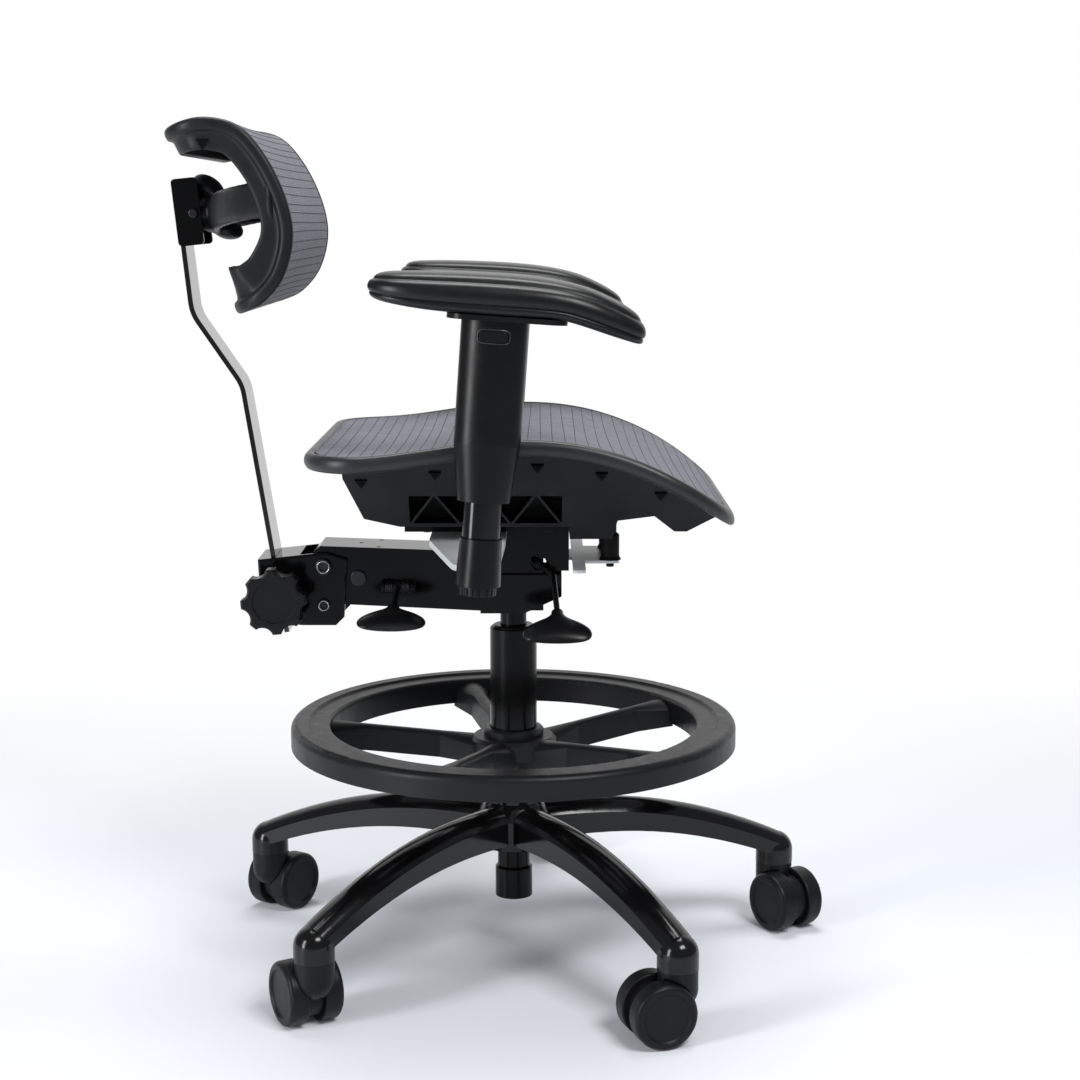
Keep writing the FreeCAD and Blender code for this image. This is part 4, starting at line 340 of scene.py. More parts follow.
GLOSS_BLACK = hard_finish("gloss_black_paint", (0.0034, 0.0034, 0.0039), 0.16, 1.6, 0.010, specular=0.38)
STEEL_BLACK = hard_finish("black_steel_paint", (0.0028, 0.0029, 0.0032), 0.12, 0.9, 0.005, specular=0.2,
                          edge=0.7)
BAR_BLACK = hard_finish("bar_black_gloss", (0.0032, 0.0032, 0.0036), 0.08, 1.8, 0.005, specular=0.4,
                        coat=0.6, edge=0.5)
COLUMN_BLACK = hard_finish("column_black", (0.0030, 0.0031, 0.0034), 0.20, 1.2, 0.008, specular=0.16)
CHARCOAL = hard_finish("charcoal_moulding", (0.0098, 0.0102, 0.0118), 0.40, 0.7, 0.03, specular=0.24,
                       edge=1.2)
# Same charcoal plastic as the underframe and the back rim, painted paler as a highlight along the seat rim.
# Its gloss is its own.
RIM_CHARCOAL_PAINTED_HIGHLIGHT = hard_finish("rim_moulding_painted_highlight", (0.0165, 0.0170, 0.0190), 0.38, 1.5, 0.004, mottle=0.1,
                           specular=0.44)
RING_CHARCOAL = hard_finish("foot_ring_moulding", (0.0090, 0.0094, 0.0106), 0.40, 0.8, 0.01, mottle=0.05,
                            specular=0.24)
BLACK_PLASTIC = hard_finish("black_moulding", (0.0056, 0.0057, 0.0064), 0.30, 0.6, 0.02, specular=0.26,
                            edge=0.8)
SATIN_PLASTIC = hard_finish("satin_sleeve_moulding", (0.0030, 0.0032, 0.0040), 0.31, 0.7, 0.008,
                            specular=0.26)
CASTER_PLASTIC = hard_finish("caster_moulding", (0.0072, 0.0075, 0.0084), 0.40, 0.7, 0.03, specular=0.2,
                             edge=0.8)
RUBBER = hard_finish("bumper_rubber", (0.0060, 0.0060, 0.0062), 0.6, 0.8, 0.06, specular=0.15)
PAD_SKIN = hard_finish("pad_skin", (0.0056, 0.0058, 0.0064), 0.32, 0.5, 0.03, specular=0.32)
# Grey far paler than the black sleeve: partly the frame's own grey, partly painted highlight on its lit lower
# and left edges.
FRAME_GREY_PAINTED_HIGHLIGHT = hard_finish("button_frame_satin_painted_highlight", (0.030, 0.031, 0.034), 0.2, 1.0, 0.003, specular=0.5)
# Near black with little gloss: painted shade of the recessed notches where the clips sit, not the clips' own
# colour.
CLIP_PAINTED_SHADE = hard_finish("clip_recess_painted_shade", (0.0014, 0.0014, 0.0015), 0.6, 0.5, 0.02, specular=0.08)
DARK_STEEL = hard_finish("dark_fastener_steel", (0.045, 0.045, 0.050), 0.3, 0.5, 0.02, metallic=0.9,
                         edge=0.5)
BRIGHT_STEEL = hard_finish("bright_steel", (0.55, 0.55, 0.57), 0.22, 0.6, 0.01, metallic=1.0)
ZINC = hard_finish("zinc_plate", (0.72, 0.74, 0.76), 0.36, 1.4, 0.005, mottle=0.04, metallic=0.2,
                   specular=0.5, edge=0.7)
MESH_CLOTH = mesh_weave("woven_mesh", (0.085, 0.087, 0.102), (0.225, 0.230, 0.268))
THREAD = hard_finish("cross_thread", (0.006, 0.006, 0.009), 0.7, 0.4, 0.05)

NODE_FINISH = {
    "five_star_base": GLOSS_BLACK, "cylinder_tube": COLUMN_BLACK, "cylinder_bush": BLACK_PLASTIC,
    "thrust_bearing": BRIGHT_STEEL, "rod_clip": BRIGHT_STEEL, "piston_rod": BRIGHT_STEEL,
    "gas_spring_tube": COLUMN_BLACK, "foot_ring": RING_CHARCOAL, "foot_ring_collar": RING_CHARCOAL,
    "tilt_housing": STEEL_BLACK, "rear_arm": STEEL_BLACK, "front_plate": ZINC,
    "front_bumpers": RUBBER, "mechanism_bolts": DARK_STEEL, "seat_bracket": STEEL_BLACK,
    "tilt_pin": DARK_STEEL, "seat_plate": STEEL_BLACK, "seat_underframe": CHARCOAL,
    "seat_screws": DARK_STEEL, "arm_brackets": ZINC,
    "arm_cups": SATIN_PLASTIC, "arm_posts": GLOSS_BLACK, "arm_nuts": BLACK_PLASTIC,
    "clamp_bracket": STEEL_BLACK, "clamp_bolts": DARK_STEEL, "star_knob": BLACK_PLASTIC,
    "back_bar": BAR_BLACK, "back_bracket": STEEL_BLACK, "back_pivot_pin": DARK_STEEL,
    "height_lever": BLACK_PLASTIC, "release_pin": BRIGHT_STEEL, "back_lever": BLACK_PLASTIC,
}
for side in SIDES:
    NODE_FINISH[f"arm_sleeve_{side}"] = SATIN_PLASTIC
    NODE_FINISH[f"arm_button_{side}"] = BLACK_PLASTIC
    NODE_FINISH[f"arm_pad_plate_{side}"] = BLACK_PLASTIC
for number in range(1, 6):
    for piece_name in ("fork", "wheel_left", "wheel_right"):
        NODE_FINISH[f"caster_{number}_{piece_name}"] = CASTER_PLASTIC
for node_name, finish in NODE_FINISH.items():
    NODES[node_name].data.materials.clear()
    NODES[node_name].data.materials.append(finish)


# Pieces grown by node trees

def node_piece(name, mesh, sizes, grow, material):
    """Piece grown over a base mesh by a node tree with named sizes."""
    piece = bpy.data.objects.new(name, mesh)
    bpy.context.scene.collection.objects.link(piece)
    tree = bpy.data.node_groups.new(name, "GeometryNodeTree")
    tree.interface.new_socket("Geometry", in_out="INPUT", socket_type="NodeSocketGeometry")
    sockets = {
        label: tree.interface.new_socket(label, in_out="INPUT", socket_type="NodeSocketFloat")
        for label in sizes
    }
    tree.interface.new_socket("Geometry", in_out="OUTPUT", socket_type="NodeSocketGeometry")
    nodes, links = tree.nodes, tree.links
    entry = nodes.new("NodeGroupInput")
    leave = nodes.new("NodeGroupOutput")
    realize = nodes.new("GeometryNodeRealizeInstances")
    paint = nodes.new("GeometryNodeSetMaterial")
    paint.inputs["Material"].default_value = material
    links.new(grow(nodes, links, entry.outputs), realize.inputs["Geometry"])
    links.new(realize.outputs["Geometry"], paint.inputs["Geometry"])
    links.new(paint.outputs["Geometry"], leave.inputs["Geometry"])
    modifier = piece.modifiers.new("Grown", "NODES")
    modifier.node_group = tree
    for label, size in sizes.items():
        modifier[sockets[label].identifier] = size
    return finished_mesh(piece)


def round_cord(nodes, links, curve, radius):
    """Smooth round cord along a curve."""
    circle = nodes.new("GeometryNodeCurvePrimitiveCircle")
    circle.inputs["Resolution"].default_value = 8
    tube = nodes.new("GeometryNodeCurveToMesh")
    tube.inputs["Fill Caps"].default_value = True
    smooth = nodes.new("GeometryNodeSetShadeSmooth")
    links.new(radius, circle.inputs["Radius"])
    links.new(curve, tube.inputs["Curve"])
    links.new(circle.outputs["Curve"], tube.inputs["Profile Curve"])
    links.new(tube.outputs["Mesh"], smooth.inputs["Geometry"])
    return smooth.outputs["Geometry"]


def at_points(nodes, links, points, shape):
    """Copies of a shape at points, turned by the points' own turns."""
    turn = nodes.new("GeometryNodeInputNamedAttribute")
    turn.data_type = "FLOAT_VECTOR"
    turn.inputs["Name"].default_value = "turn"
    copies = nodes.new("GeometryNodeInstanceOnPoints")
    links.new(points, copies.inputs["Points"])
    links.new(shape, copies.inputs["Instance"])
    links.new(turn.outputs["Attribute"], copies.inputs["Rotation"])
    return copies.outputs["Instances"]


def grow_cords(nodes, links, given):
    curve = nodes.new("GeometryNodeMeshToCurve")
    links.new(given["Geometry"], curve.inputs["Mesh"])
    return round_cord(nodes, links, curve.outputs["Curve"], given["Cord radius"])


def grow_rings(nodes, links, given):
    ring = nodes.new("GeometryNodeCurvePrimitiveCircle")
    links.new(given["Ring radius"], ring.inputs["Radius"])
    wire = round_cord(nodes, links, ring.outputs["Curve"], given["Wire radius"])
    return at_points(nodes, links, given["Geometry"], wire)


def grow_coils(nodes, links, given):
    spiral = nodes.new("GeometryNodeCurveSpiral")
    spiral.inputs["Resolution"].default_value = 24
    links.new(given["Turns"], spiral.inputs["Rotations"])
    links.new(given["Coil radius"], spiral.inputs["Start Radius"])
    links.new(given["Coil radius"], spiral.inputs["End Radius"])
    links.new(given["Coil length"], spiral.inputs["Height"])
    wire = round_cord(nodes, links, spiral.outputs["Curve"], given["Wire radius"])
    return at_points(nodes, links, given["Geometry"], wire)


def grow_wedges(nodes, links, given):
    wedge = nodes.new("GeometryNodeMeshCylinder")
    wedge.inputs["Vertices"].default_value = 3
    links.new(given["Wedge radius"], wedge.inputs["Radius"])
    links.new(given["Wedge depth"], wedge.inputs["Depth"])
    return at_points(nodes, links, given["Geometry"], wedge.outputs["Mesh"])


def lines_mesh(name, rows, closed=False):
    """Lines along rows of points, each open or closed into a ring."""
    points = []
    edges = []
    for row in rows:
        start = len(points)
        points.extend(row)
        edges.extend((start + index, start + index + 1) for index in range(len(row) - 1))
        if closed:
            edges.append((start + len(row) - 1, start))
    mesh = bpy.data.meshes.new(name)
    mesh.from_pydata(points, edges, [])
    return mesh


def turned_points(name, spots):
    """Loose points with a turn each, from places and turns."""
    mesh = bpy.data.meshes.new(name)
    mesh.from_pydata([place for place, turn in spots], [], [])
    turns = mesh.attributes.new("turn", "FLOAT_VECTOR", "POINT")
    for value, (place, turn) in zip(turns.data, spots):
        value.vector = turn
    return mesh


# Woven sheets

def cloth_sheet(name, rows):
    """Sheet over rows of points, with a map of its width and length in metres."""
    columns = len(rows[0])
    shape = bmesh.new()
    cloth_map = shape.loops.layers.uv.new("cloth")
    grid = []
    travelled = 0.0
    for index, row in enumerate(rows):
        if index:
            travelled += (row[columns // 2] - rows[index - 1][columns // 2]).length
        grid.append([(shape.verts.new(point), (point.y, travelled)) for point in row])
    for below, above in zip(grid, grid[1:]):
        for left, right in zip(range(columns - 1), range(1, columns)):
            corners = (below[left], above[left], above[right], below[right])
            face = shape.faces.new([corner[0] for corner in corners])
            for loop, corner in zip(face.loops, corners):
                loop[cloth_map].uv = corner[1]
    mesh = bpy.data.meshes.new(name)
    shape.to_mesh(mesh)
    shape.free()
    return mesh


def stretched_cloth(name, rows):
    """Woven sheet of an even thickness, under its rows of points."""
    piece = new_piece(name, cloth_sheet(name, rows), MESH_CLOTH)
    modifier = piece.modifiers.new("Thickness", "SOLIDIFY")
    modifier.thickness = CLOTH_THICK
    modifier.offset = -1
    return finished_mesh(piece)


def cross_threads(name, places, radius, drift, beat, bend, point):
    """Threads across a sheet at places along it, each drifting a little; point gives the sheet's points."""
    lines = []
    for index, place in enumerate(places):
        shift = drift * math.sin(index * beat)
        lines.append([
            point(place + shift * math.cos(bend * across + index), across)
            for across in steps(-1, 1, THREAD_POINTS)
        ])
    return node_piece(name, lines_mesh(name, lines), {"Cord radius": radius}, grow_cords, THREAD)


# Seat mesh and rim

def crest(x):
    """Top line of the seat in side view."""
    if x < SEAT_CROWN_X:
        share = min((SEAT_CROWN_X - x) / SEAT_REAR_RUN, 1)
        return SEAT_TOP - SEAT_REAR_DROP * (1 - math.cos(math.pi * share)) / 2
    share = (x - SEAT_CROWN_X) / (SEAT_FRONT - SEAT_CROWN_X)
    return SEAT_TOP - SEAT_FRONT_DROP * share ** SEAT_FRONT_POWER


def seat_half_at(x, inset):
    """Half width of the seat's rounded plan at a place along it."""
    half = SEAT_HALF - inset
    rear_round = SEAT_REAR_ROUND - inset
    front_round = SEAT_FRONT_ROUND - inset
    behind = SEAT_REAR + inset + rear_round - x
    ahead = x - (SEAT_FRONT - inset - front_round)
    if behind > 0:
        return half - rear_round + math.sqrt(max(rear_round ** 2 - behind ** 2, 0))
    if ahead > 0:
        return half - front_round + math.sqrt(max(front_round ** 2 - ahead ** 2, 0))
    return half


def seat_point(x, across, inset):
    """Point of the seat mesh: across runs from -1 to 1 between the rims."""
    y = across * seat_half_at(x, inset)
    edge = min(x - SEAT_REAR, SEAT_FRONT - x) / SEAT_SAG_EDGE
    sag = SEAT_SAG * (1 - across ** 2) * min(1, edge)
    return Vector((x, y, crest(x) - sag))


def make_seat_mesh(rim):
    first = SEAT_REAR + MESH_INSET
    last = SEAT_FRONT - MESH_INSET
    acrosses = steps(-1, 1, SEAT_COLUMNS)
    places = steps(first, last, CLOTH_ROWS)
    rows = [[seat_point(x, across, MESH_INSET) for across in acrosses] for x in places]
    sheet = stretched_cloth("seat_mesh_cloth", rows)
    threads = cross_threads(
        "seat_mesh_threads", steps(first + 12 * MM, last - 8 * MM, SEAT_THREADS), radius=0.28 * MM,
        drift=0.9 * MM, beat=2.3, bend=1.6,
        point=lambda x, across: seat_point(x, across, MESH_INSET + THREAD_INSET),
    )
    for piece in (sheet, threads):
        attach(piece, "seat")
    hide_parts("seat_mesh")


# Section of the seat rim from its outer edge and the crest: outward, up (mm)
SEAT_RIM = (
    (-20.5, -2.0), (-12.4, -1.7), (-11.3, -2.4), (-10.5, -0.9), (-9.0, 0.7), (-6.0, 1.0), (-3.0, 0.2),
    (-1.0, -1.8), (0.0, -5.0), (0.1, -8.0), (-0.6, -11.0), (-2.2, -13.6), (-4.0, -15.2), (-7.0, -16.0),
    (-14.0, -16.0), (-20.0, -15.0),
)


def make_seat_rim():
    loops = []
    path = rounded_path(SEAT_REAR, SEAT_FRONT, SEAT_HALF, SEAT_REAR_ROUND, SEAT_FRONT_ROUND, spacing=12 * MM)
    for place, out in path:
        loop = []
        for outward_by, up in SEAT_RIM:
            spot = place + out * outward_by * MM
            loop.append((spot.x, spot.y, crest(spot.x) + up * MM))
        loops.append(loop)
    # The seat rim's paler charcoal is painted highlight.
    rim = subdivide(new_piece("seat_rim", loops_mesh("seat_rim", loops, closed=True), RIM_CHARCOAL_PAINTED_HIGHLIGHT))
    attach(rim, "seat")
    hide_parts("seat_frame")
    return rim


make_seat_mesh(make_seat_rim())


# Back mesh and rim

def back_samples(count):
    """Places down the back's front face in side view, evenly spaced, with their outward normals."""
    aheads = [(index, x) for index, (x, z) in enumerate(BACK_CURVE)]
    ups = [(index, z) for index, (x, z) in enumerate(BACK_CURVE)]
    fine = 600
    line = []
    for at in steps(0, len(BACK_CURVE) - 1, fine):
        line.append(Vector((between(aheads, at), between(ups, at))) * MM)
    travel = [0.0]
    for before, after in zip(line, line[1:]):
        travel.append(travel[-1] + (after - before).length)
    places = []
    index = 0
    for goal in steps(0, travel[-1], count):
        while index < fine - 2 and travel[index + 1] < goal:
            index += 1
        share = (goal - travel[index]) / (travel[index + 1] - travel[index])
        along = (line[index + 1] - line[index]).normalized()
        places.append((line[index].lerp(line[index + 1], share), Vector((-along.y, along.x))))
    return places, travel[-1]


BACK_FINE = 401
BACK_PLACES, BACK_LENGTH = back_samples(BACK_FINE)


def on_back(down, y, proud):
    """Point of the back at a way down its front face, across it, and proud of it."""
    at = min(max(down / BACK_LENGTH, 0), 1) * (BACK_FINE - 1)
    index = min(int(at), BACK_FINE - 2)
    place, normal = BACK_PLACES[index]
    next_place, next_normal = BACK_PLACES[index + 1]
    place = place.lerp(next_place, at - index)
    normal = normal.lerp(next_normal, at - index).normalized()
    return Vector((EYE.x + place.x + normal.x * proud, y, EYE.z + place.y + normal.y * proud))


def back_half_at(down, inset):
    """Half width of the back's rounded outline at a way down its front face."""
    half = BACK_HALF - inset
    round_by = BACK_ROUND - inset
    past = max(inset + round_by - down, down - (BACK_LENGTH - inset - round_by))
    if past > 0:
        return half - round_by + math.sqrt(max(round_by ** 2 - past ** 2, 0))
    return half


def back_mesh_point(down, across, inset):
    edge = min(down, BACK_LENGTH - down) / BACK_SAG_EDGE
    sag = BACK_SAG * (1 - across ** 2) * min(1, edge)
    return on_back(down, across * back_half_at(down, inset), -sag)


# Section of the back rim from its outer edge and the front face: outward and forward (mm), share of
# the skirt
BACK_RIM = (
    (-18.5, -2.2, 0), (-10.2, -1.7, 0), (-9.2, -2.4, 0), (-8.3, -0.6, 0), (-6.5, 0.9, 0), (-3.5, 1.0, 0),
    (-1.0, -0.6, 0), (0.0, -3.6, 0), (0.0, -8.0, 0), (-1.0, -10.8, 0), (-3.4, -12.2, 0), (-5.2, -13.0, 0),
    (-5.6, -13.5, 0.5), (-6.0, -13.5, 0.9), (-7.2, -13.5, 1), (-9.4, -13.5, 1), (-10.8, -13.5, 0.9),
    (-10.8, -13.5, 0.5), (-11.0, -13.6, 0), (-18.0, -12.0, 0),
)
# Way down the back and depth of its skirt there (mm)
BACK_SKIRT = ((0, 14.0), (60, 17.0), (140, 15.0), (190, 17.0), (235, 24.0), (300, 32.0))


def make_back():
    acrosses = steps(-1, 1, BACK_COLUMNS)
    first = BACK_MESH_INSET
    last = BACK_LENGTH - BACK_MESH_INSET
    downs = steps(first, last, CLOTH_ROWS)
    rows = [[back_mesh_point(down, across, BACK_MESH_INSET) for across in acrosses] for down in downs]
    sheet = stretched_cloth("back_mesh_cloth", rows)
    threads = cross_threads(
        "back_mesh_threads", steps(first + 9 * MM, last - 6 * MM, BACK_THREADS), radius=0.32 * MM,
        drift=0.8 * MM, beat=1.9, bend=1.3,
        point=lambda down, across: back_mesh_point(down, across, BACK_MESH_INSET + THREAD_INSET),
    )
    loops = []
    for place, out in rounded_path(0, BACK_LENGTH, BACK_HALF, BACK_ROUND, BACK_ROUND, spacing=8 * MM):
        loop = []
        skirt = between(BACK_SKIRT, place.x / MM)
        for outward_by, proud, share in BACK_RIM:
            spot = place + out * outward_by * MM
            loop.append(on_back(spot.x, spot.y, (proud - skirt * share) * MM))
        loops.append(loop)
    rim = subdivide(new_piece("back_rim", loops_mesh("back_rim", loops, closed=True), CHARCOAL))
    for piece in (sheet, threads, rim):
        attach(piece, "back_rest")
    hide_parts("back_mesh")
    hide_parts("back_frame")
    return rim


BACK_RIM_PIECE = make_back()


# Cast yoke of the back

BOW_MIDDLE = 21.5 * MM      # middle of the bow's thickness from the pivot pin
BOW_RADIUS = 198.5 * MM
BOW_END = 53.0              # degrees to each side
BOW_LOOPS = 53
BOW_POINTS = 28
BOW_SQUARENESS = 2.6
# Share of the way along the bow: middle height from the pin, half height, half thickness (mm)
BOW_HEIGHT = ((0.0, -1.0), (0.3, 2.5), (0.7, 9.5), (1.0, 15.0))
BOW_HALF = ((0.0, 20.0), (0.4, 18.5), (0.8, 18.0), (0.93, 19.5), (1.0, 23.0))
BOW_DEPTH = ((0.0, 7.0), (0.5, 6.5), (0.85, 6.5), (1.0, 8.5))
# Rounded lumps about the pin: place along X and Z, half sizes (mm), fall to the front (degrees)
YOKE_LUMPS = (((15, 0), (17, 24, 20), 0), ((12, 26.5), (18, 21, 11), 34), ((31, -17), (16, 20, 10), 10))
YOKE_BOSS_RADIUS = 9 * MM
YOKE_BOSS_LENGTH = 49 * MM
YOKE_VOXEL = 1.6 * MM


def bow_loops():
    """Sections of the bow from end to end."""
    loops = []
    for degrees in steps(-BOW_END, BOW_END, BOW_LOOPS):
        angle = math.radians(degrees)
        share = abs(degrees) / BOW_END
        out = Vector((-math.cos(angle), math.sin(angle)))
        middle = Vector((BOW_MIDDLE + BOW_RADIUS, 0)) + out * BOW_RADIUS
        loop = []
        for aside, above in oval(BOW_POINTS, BOW_SQUARENESS):
            spot = middle + out * (between(BOW_DEPTH, share) * MM * aside)
            up = (between(BOW_HEIGHT, share) + between(BOW_HALF, share) * above) * MM
            loop.append(EYE + Vector((spot.x, spot.y, up)))
        loops.append(loop)
    return loops


def make_yoke():
    """Casting of the back: bow, lumps and boss, blended into one skin."""
    shape = bmesh.new()
    shape.from_mesh(loops_mesh("back_yoke_bow", bow_loops()))
    for (x, z), half_sizes, fall in YOKE_LUMPS:
        place = Matrix.Translation(EYE + Vector((x, 0, z)) * MM) @ Matrix.Rotation(math.radians(fall), 4, "Y")
        sizes = Matrix.Diagonal((*[half * MM for half in half_sizes], 1))
        bmesh.ops.create_icosphere(shape, subdivisions=4, radius=1, matrix=place @ sizes)
    across = Matrix.Translation(EYE) @ Matrix.Rotation(math.pi / 2, 4, "X")
    bmesh.ops.create_cone(shape, cap_ends=True, segments=40, radius1=YOKE_BOSS_RADIUS,
                          radius2=YOKE_BOSS_RADIUS, depth=YOKE_BOSS_LENGTH, matrix=across)
    mesh = bpy.data.meshes.new("back_yoke_casting")
    shape.to_mesh(mesh)
    shape.free()
    yoke = new_piece("back_yoke_casting", mesh, CHARCOAL)
    blend = yoke.modifiers.new("Blend", "REMESH")
    blend.mode = "VOXEL"
    blend.voxel_size = YOKE_VOXEL
    blend.use_smooth_shade = True
    ease = yoke.modifiers.new("Ease", "SMOOTH")
    ease.factor = 0.5
    ease.iterations = 16
    finished_mesh(yoke)
    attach(yoke, "back_rest")
    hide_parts("back_yoke")


make_yoke()


# Clips coloured near black as painted shade of their recesses, bolt rims and lever springs

SEAT_CLIPS = (-145, -73, 26, 88, 146)   # along the seat (mm)
SEAT_CLIP_DROP = 27 * MM                # below the crest
BACK_CLIP = (33 * MM, 66 * MM)          # ahead of and above the pivot pin
CLIP_RAY_START = 0.4                    # to either side, outside the chair


def facing(normal, point_down):
    """Turn whose Z is the normal and whose X leans along point_down."""
    along = (point_down - normal * point_down.dot(normal)).normalized()
    return Matrix((along, normal.cross(along), normal)).transposed().to_euler()


def clip_spots(target, places):
    """Clips on both sides of a piece, at places in side view, pointing down along its face."""
    spots = []
    for x, z in places:
        for sign in (-1, 1):
            start = Vector((x, CLIP_RAY_START * sign, z))
            hit, spot, normal, face = target.ray_cast(start, Vector((0, -sign, 0)))
            if hit:
                spots.append((spot, facing(normal, Vector((0, 0, -1)))))
    return spots


def make_clips():
    seat_places = [(x * MM, crest(x * MM) - SEAT_CLIP_DROP) for x in SEAT_CLIPS]
    back_places = [(EYE.x + BACK_CLIP[0], EYE.z + BACK_CLIP[1])]
    # The wedges are coloured near black as painted shade of the recessed clip notches under the rims.
    sizes = {"Wedge radius": 7.0 * MM, "Wedge depth": 4.0 * MM}
    for name, target, places, body in (
        ("seat_rim_clips_painted_shade", NODES["seat_underframe"], seat_places, "seat"),
        ("back_rim_clips_painted_shade", BACK_RIM_PIECE, back_places, "back_rest"),
    ):
        spots = turned_points(name, clip_spots(target, places))
        clips = node_piece(name, spots, sizes, grow_wedges, CLIP_PAINTED_SHADE)
        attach(clips, body)


def make_bolt_rims():
    for name, body, x, z, faces, radius in (
        ("clamp_pivot_rims", "clamp", -198, 426, 40.0, 6.2),
        ("clamp_lock_rims", "clamp", -198, 385, 39.0, 5.0),
    ):
        spots = [(Vector((x, sign * faces, z)) * MM, Vector((math.pi / 2, 0, 0))) for sign in (-1, 1)]
        sizes = {"Ring radius": radius * MM, "Wire radius": 0.7 * MM}
        rims = node_piece(name, turned_points(name, spots), sizes, grow_rings, BRIGHT_STEEL)
        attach(rims, body)


def make_lever_springs():
    spots = [(Vector((x, -37, 405)) * MM, Vector((0, math.pi / 2, 0))) for x in (-132.5, -115.0)]
    sizes = {"Turns": 4.0, "Coil radius": 6.0 * MM, "Coil length": 7.5 * MM, "Wire radius": 0.7 * MM}
    name = "back_lever_springs"
    springs = node_piece(name, turned_points(name, spots), sizes, grow_coils, DARK_STEEL)
    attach(springs, "back_lever")


make_clips()
make_bolt_rims()
make_lever_springs()


# Arm pads and button frames

PAD_REAR, PAD_FRONT = -121, 141
# Along the pad and the height of its underside and of its crown above the plate (mm)
PAD_UNDER = (
    (PAD_REAR, 9.0), (-107, 5.0), (-62, 0.5), (0, -0.5), (60, -0.5), (80, -4.5), (110, -12.5),
    (PAD_FRONT, -20.5),
)
PAD_CROWN = (
    (PAD_REAR, 30.0), (-107, 32.5), (-62, 36.0), (0, 38.0), (40, 37.0), (80, 31.5), (110, 21.0),
    (PAD_FRONT, 6.0),
)
PAD_WIDTH = ((PAD_REAR, 40.0), (-90, 44.0), (-40, 46.0), (40, 46.0), (94, 43.0), (PAD_FRONT, 34.0))
# Levels up the pad: set in from its outline (mm) and share of its height
PAD_LEVELS = (
    (24.0, 0.0), (14.0, 0.008), (7.5, 0.035), (4.4, 0.09), (3.4, 0.165), (3.8, 0.225), (5.0, 0.24),
    (3.6, 0.255), (1.4, 0.31), (0.2, 0.41), (0.4, 0.53), (2.0, 0.64), (4.6, 0.715), (7.2, 0.75),
    (8.4, 0.756), (9.2, 0.80), (11.0, 0.875), (15.0, 0.94), (23.0, 0.98), (33.0, 0.995), (41.0, 1.0),
)
PAD_POINTS = 72
PAD_SQUARENESS = 3.2
PAD_END_INSET = 0.62        # set-in at the ends as a share of that at the sides
PAD_LEAST_HALF = 2.5        # half width that the innermost levels keep (mm)


def pad_loop(inset, share, side):
    """One level of a pad: a squared oval, set in, at its share of the pad's height."""
    rear, front = PAD_REAR + inset * PAD_END_INSET, PAD_FRONT - inset * PAD_END_INSET
    middle, reach = (rear + front) / 2, (front - rear) / 2
    loop = []
    for way, aside in oval(PAD_POINTS, PAD_SQUARENESS):
        along = middle + reach * way
        across = max(between(PAD_WIDTH, along) - inset, PAD_LEAST_HALF) * aside
        under = between(PAD_UNDER, along)
        up = under + share * (between(PAD_CROWN, along) - under)
        loop.append(arm_point(along * MM, across * MM + PAD_SHIFT, PAD_SEAT + up * MM, side))
    return loop


def arm_point(along, inward, up, side):
    """Point in an arm's leaned frame; inward is towards the seat."""
    x = ARM_FOOT.x + along * math.cos(ARM_LEAN) + up * math.sin(ARM_LEAN)
    z = ARM_FOOT.z - along * math.sin(ARM_LEAN) + up * math.cos(ARM_LEAN)
    y = ARM_FOOT.y + inward
    return Vector((x, y if side == "right" else -y, z))


def make_arm_pad(side):
    loops = [pad_loop(inset, share, side) for inset, share in PAD_LEVELS]
    name = f"arm_pad_cushion_{side}"
    pad = subdivide(new_piece(name, loops_mesh(name, loops), PAD_SKIN))
    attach(pad, f"arm_pad_{side}")
    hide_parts(f"arm_pad_{side}")


SLEEVE_LONG = 31.5 * MM
SLEEVE_SHORT = 21.0 * MM
BUTTON_HEIGHT = 244 * MM
BUTTON_HALF = 8.5 * MM
BUTTON_FRAME = 6.2 * MM     # half height of the raised frame around the button
BUTTON_FRAME_CORD = 0.8 * MM
BUTTON_FRAME_POINTS = 48
BUTTON_FRAME_SQUARENESS = 5


def make_button_frame(side):
    """Raised frame around an arm button, on the sleeve's oval face."""
    line = []
    for way, above in oval(BUTTON_FRAME_POINTS, BUTTON_FRAME_SQUARENESS):
        along = (BUTTON_HALF + BUTTON_FRAME) * way
        up = BUTTON_HEIGHT + BUTTON_FRAME * above
        face = SLEEVE_SHORT * math.sqrt(1 - (along / SLEEVE_LONG) ** 2)
        line.append(arm_point(along, -face, up, side))
    name = f"arm_button_frame_{side}"
    outline = lines_mesh(name, [line], closed=True)
    # The frame's grey cord carries painted highlight.
    ring = node_piece(name, outline, {"Cord radius": BUTTON_FRAME_CORD}, grow_cords, FRAME_GREY_PAINTED_HIGHLIGHT)
    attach(ring, f"arm_{side}")


for side in SIDES:
    make_arm_pad(side)
    make_button_frame(side)


# Camera, light and floor

CAMERA_PLACE = (0.02841, -2.104, 0.787)
CAMERA_DIP = 9.14           # degrees below level
CAMERA_LENS = 66.95         # mm
SENSOR_WIDTH = 36           # mm
ROOM_COLOUR = (0.93, 0.96, 1.0, 1)
ROOM_STRENGTH = 0.26
FLOOR_DARK, FLOOR_LIGHT = (0.73, 0.75, 0.80), (0.77, 0.79, 0.83)
# Floor and upright sheet: half width, near edge, far edge and height of the sheet
FLOOR_HALF, FLOOR_NEAR, FLOOR_FAR, SHEET_TOP = 7.0, -6.0, 3.2, 4.5
# Where the floor begins to show as white behind the chair, where it is white, and the same to the sides
WHITE_START, WHITE_FULL = 0.1, 1.4
WHITE_SIDE_START, WHITE_SIDE_FULL = 6.0, 2.2


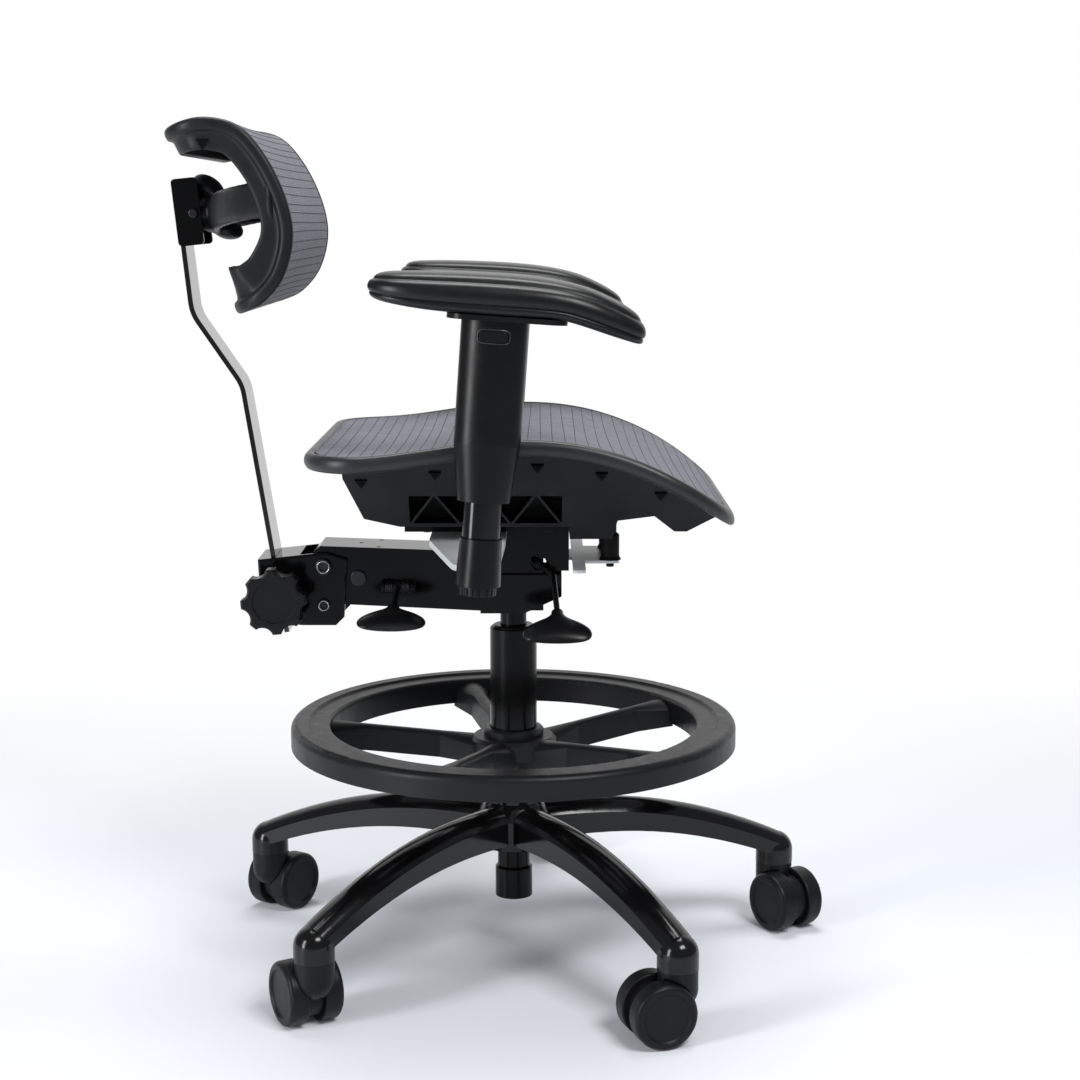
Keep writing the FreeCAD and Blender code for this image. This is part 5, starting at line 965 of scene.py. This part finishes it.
def make_camera():
    lens = bpy.data.cameras.new("camera")
    lens.sensor_width = SENSOR_WIDTH
    lens.lens = CAMERA_LENS
    camera = bpy.data.objects.new("camera", lens)
    camera.location = CAMERA_PLACE
    camera.rotation_euler = (math.radians(90 - CAMERA_DIP), 0, 0)
    bpy.context.scene.collection.objects.link(camera)
    bpy.context.scene.camera = camera


def soft_box(name, place, aim, size, power):
    """Rectangular lamp that faces a place, out of the camera's sight."""
    light = bpy.data.lights.new(name, "AREA")
    light.shape = "RECTANGLE"
    light.size, light.size_y = size
    light.energy = power
    lamp = bpy.data.objects.new(name, light)
    lamp.visible_camera = False
    lamp.location = place
    lamp.rotation_euler = (Vector(aim) - Vector(place)).to_track_quat("-Z", "Y").to_euler()
    bpy.context.scene.collection.objects.link(lamp)


def make_world():
    world = bpy.data.worlds.new("studio")
    bpy.context.scene.world = world
    world.use_nodes = True
    room = world.node_tree.nodes["Background"]
    room.inputs["Color"].default_value = ROOM_COLOUR
    room.inputs["Strength"].default_value = ROOM_STRENGTH


def white_far_off(nodes, links, shader, share):
    """Plain lit surface that shows as white by a share on camera, mirror and glass rays."""
    path = nodes.new("ShaderNodeLightPath")
    both = combine(nodes, links, "MAXIMUM", path.outputs["Is Camera Ray"], path.outputs["Is Glossy Ray"])
    seen = combine(nodes, links, "MAXIMUM", both, path.outputs["Is Transmission Ray"])
    white = nodes.new("ShaderNodeEmission")
    white.inputs["Color"].default_value = (1, 1, 1, 1)
    white.inputs["Strength"].default_value = 1.0
    mix = nodes.new("ShaderNodeMixShader")
    links.new(combine(nodes, links, "MULTIPLY", seen, share), mix.inputs["Fac"])
    links.new(shader.outputs["BSDF"], mix.inputs[1])
    links.new(white.outputs["Emission"], mix.inputs[2])
    links.new(mix.outputs["Shader"], nodes["Material Output"].inputs["Surface"])


def eased(nodes, links, value, none, full):
    """Share that eases from 0 to 1 as a value goes from none to full."""
    node = nodes.new("ShaderNodeMapRange")
    node.interpolation_type = "SMOOTHSTEP"
    node.inputs["From Min"].default_value = min(none, full)
    node.inputs["From Max"].default_value = max(none, full)
    node.inputs["To Min"].default_value = 0.0 if none < full else 1.0
    node.inputs["To Max"].default_value = 1.0 if none < full else 0.0
    links.new(value, node.inputs["Value"])
    return node.outputs["Result"]


def make_floor():
    """Pale floor that turns white behind the chair, with an upright sheet at its far end."""
    corners = [
        (-FLOOR_HALF, FLOOR_NEAR, 0), (FLOOR_HALF, FLOOR_NEAR, 0), (FLOOR_HALF, FLOOR_FAR, 0),
        (-FLOOR_HALF, FLOOR_FAR, 0), (FLOOR_HALF, FLOOR_FAR, SHEET_TOP), (-FLOOR_HALF, FLOOR_FAR, SHEET_TOP),
    ]
    mesh = bpy.data.meshes.new("floor")
    mesh.from_pydata(corners, [], [(0, 1, 2, 3), (3, 2, 4, 5)])
    material, nodes, links, shader = start_material("studio_floor")
    place = nodes.new("ShaderNodeTexCoord").outputs["Object"]
    cloud = noise(nodes, links, place, 0.8, 2.0)
    links.new(ramp(nodes, links, cloud, FLOOR_DARK, FLOOR_LIGHT), shader.inputs["Base Color"])
    shader.inputs["Roughness"].default_value = 0.5
    split = nodes.new("ShaderNodeSeparateXYZ")
    links.new(place, split.inputs[0])
    behind = eased(nodes, links, split.outputs["Y"], WHITE_START, WHITE_FULL)
    rightward = eased(nodes, links, split.outputs["X"], WHITE_SIDE_START, WHITE_SIDE_FULL)
    leftward = eased(nodes, links, split.outputs["X"], -WHITE_SIDE_START, -WHITE_SIDE_FULL)
    middle = combine(nodes, links, "MULTIPLY", rightward, leftward)
    white_far_off(nodes, links, shader, combine(nodes, links, "MULTIPLY", behind, middle))
    material.cycles.emission_sampling = "NONE"
    new_piece("floor", mesh, material)


make_camera()
make_world()
make_floor()
soft_box("key_light", (1.3, -1.9, 2.7), (0, 0, 0.4), (1.3, 0.9), 60)
soft_box("strip_light", (-2.2, -1.7, 0.95), (-0.05, 0, 0.55), (0.6, 1.7), 40)
soft_box("top_light", (0, 0.5, 3.1), (0, 0, 0.4), (1.8, 1.1), 63)
bpy.context.scene.view_settings.view_transform = "Standard"

bpy.context.view_layer.update()
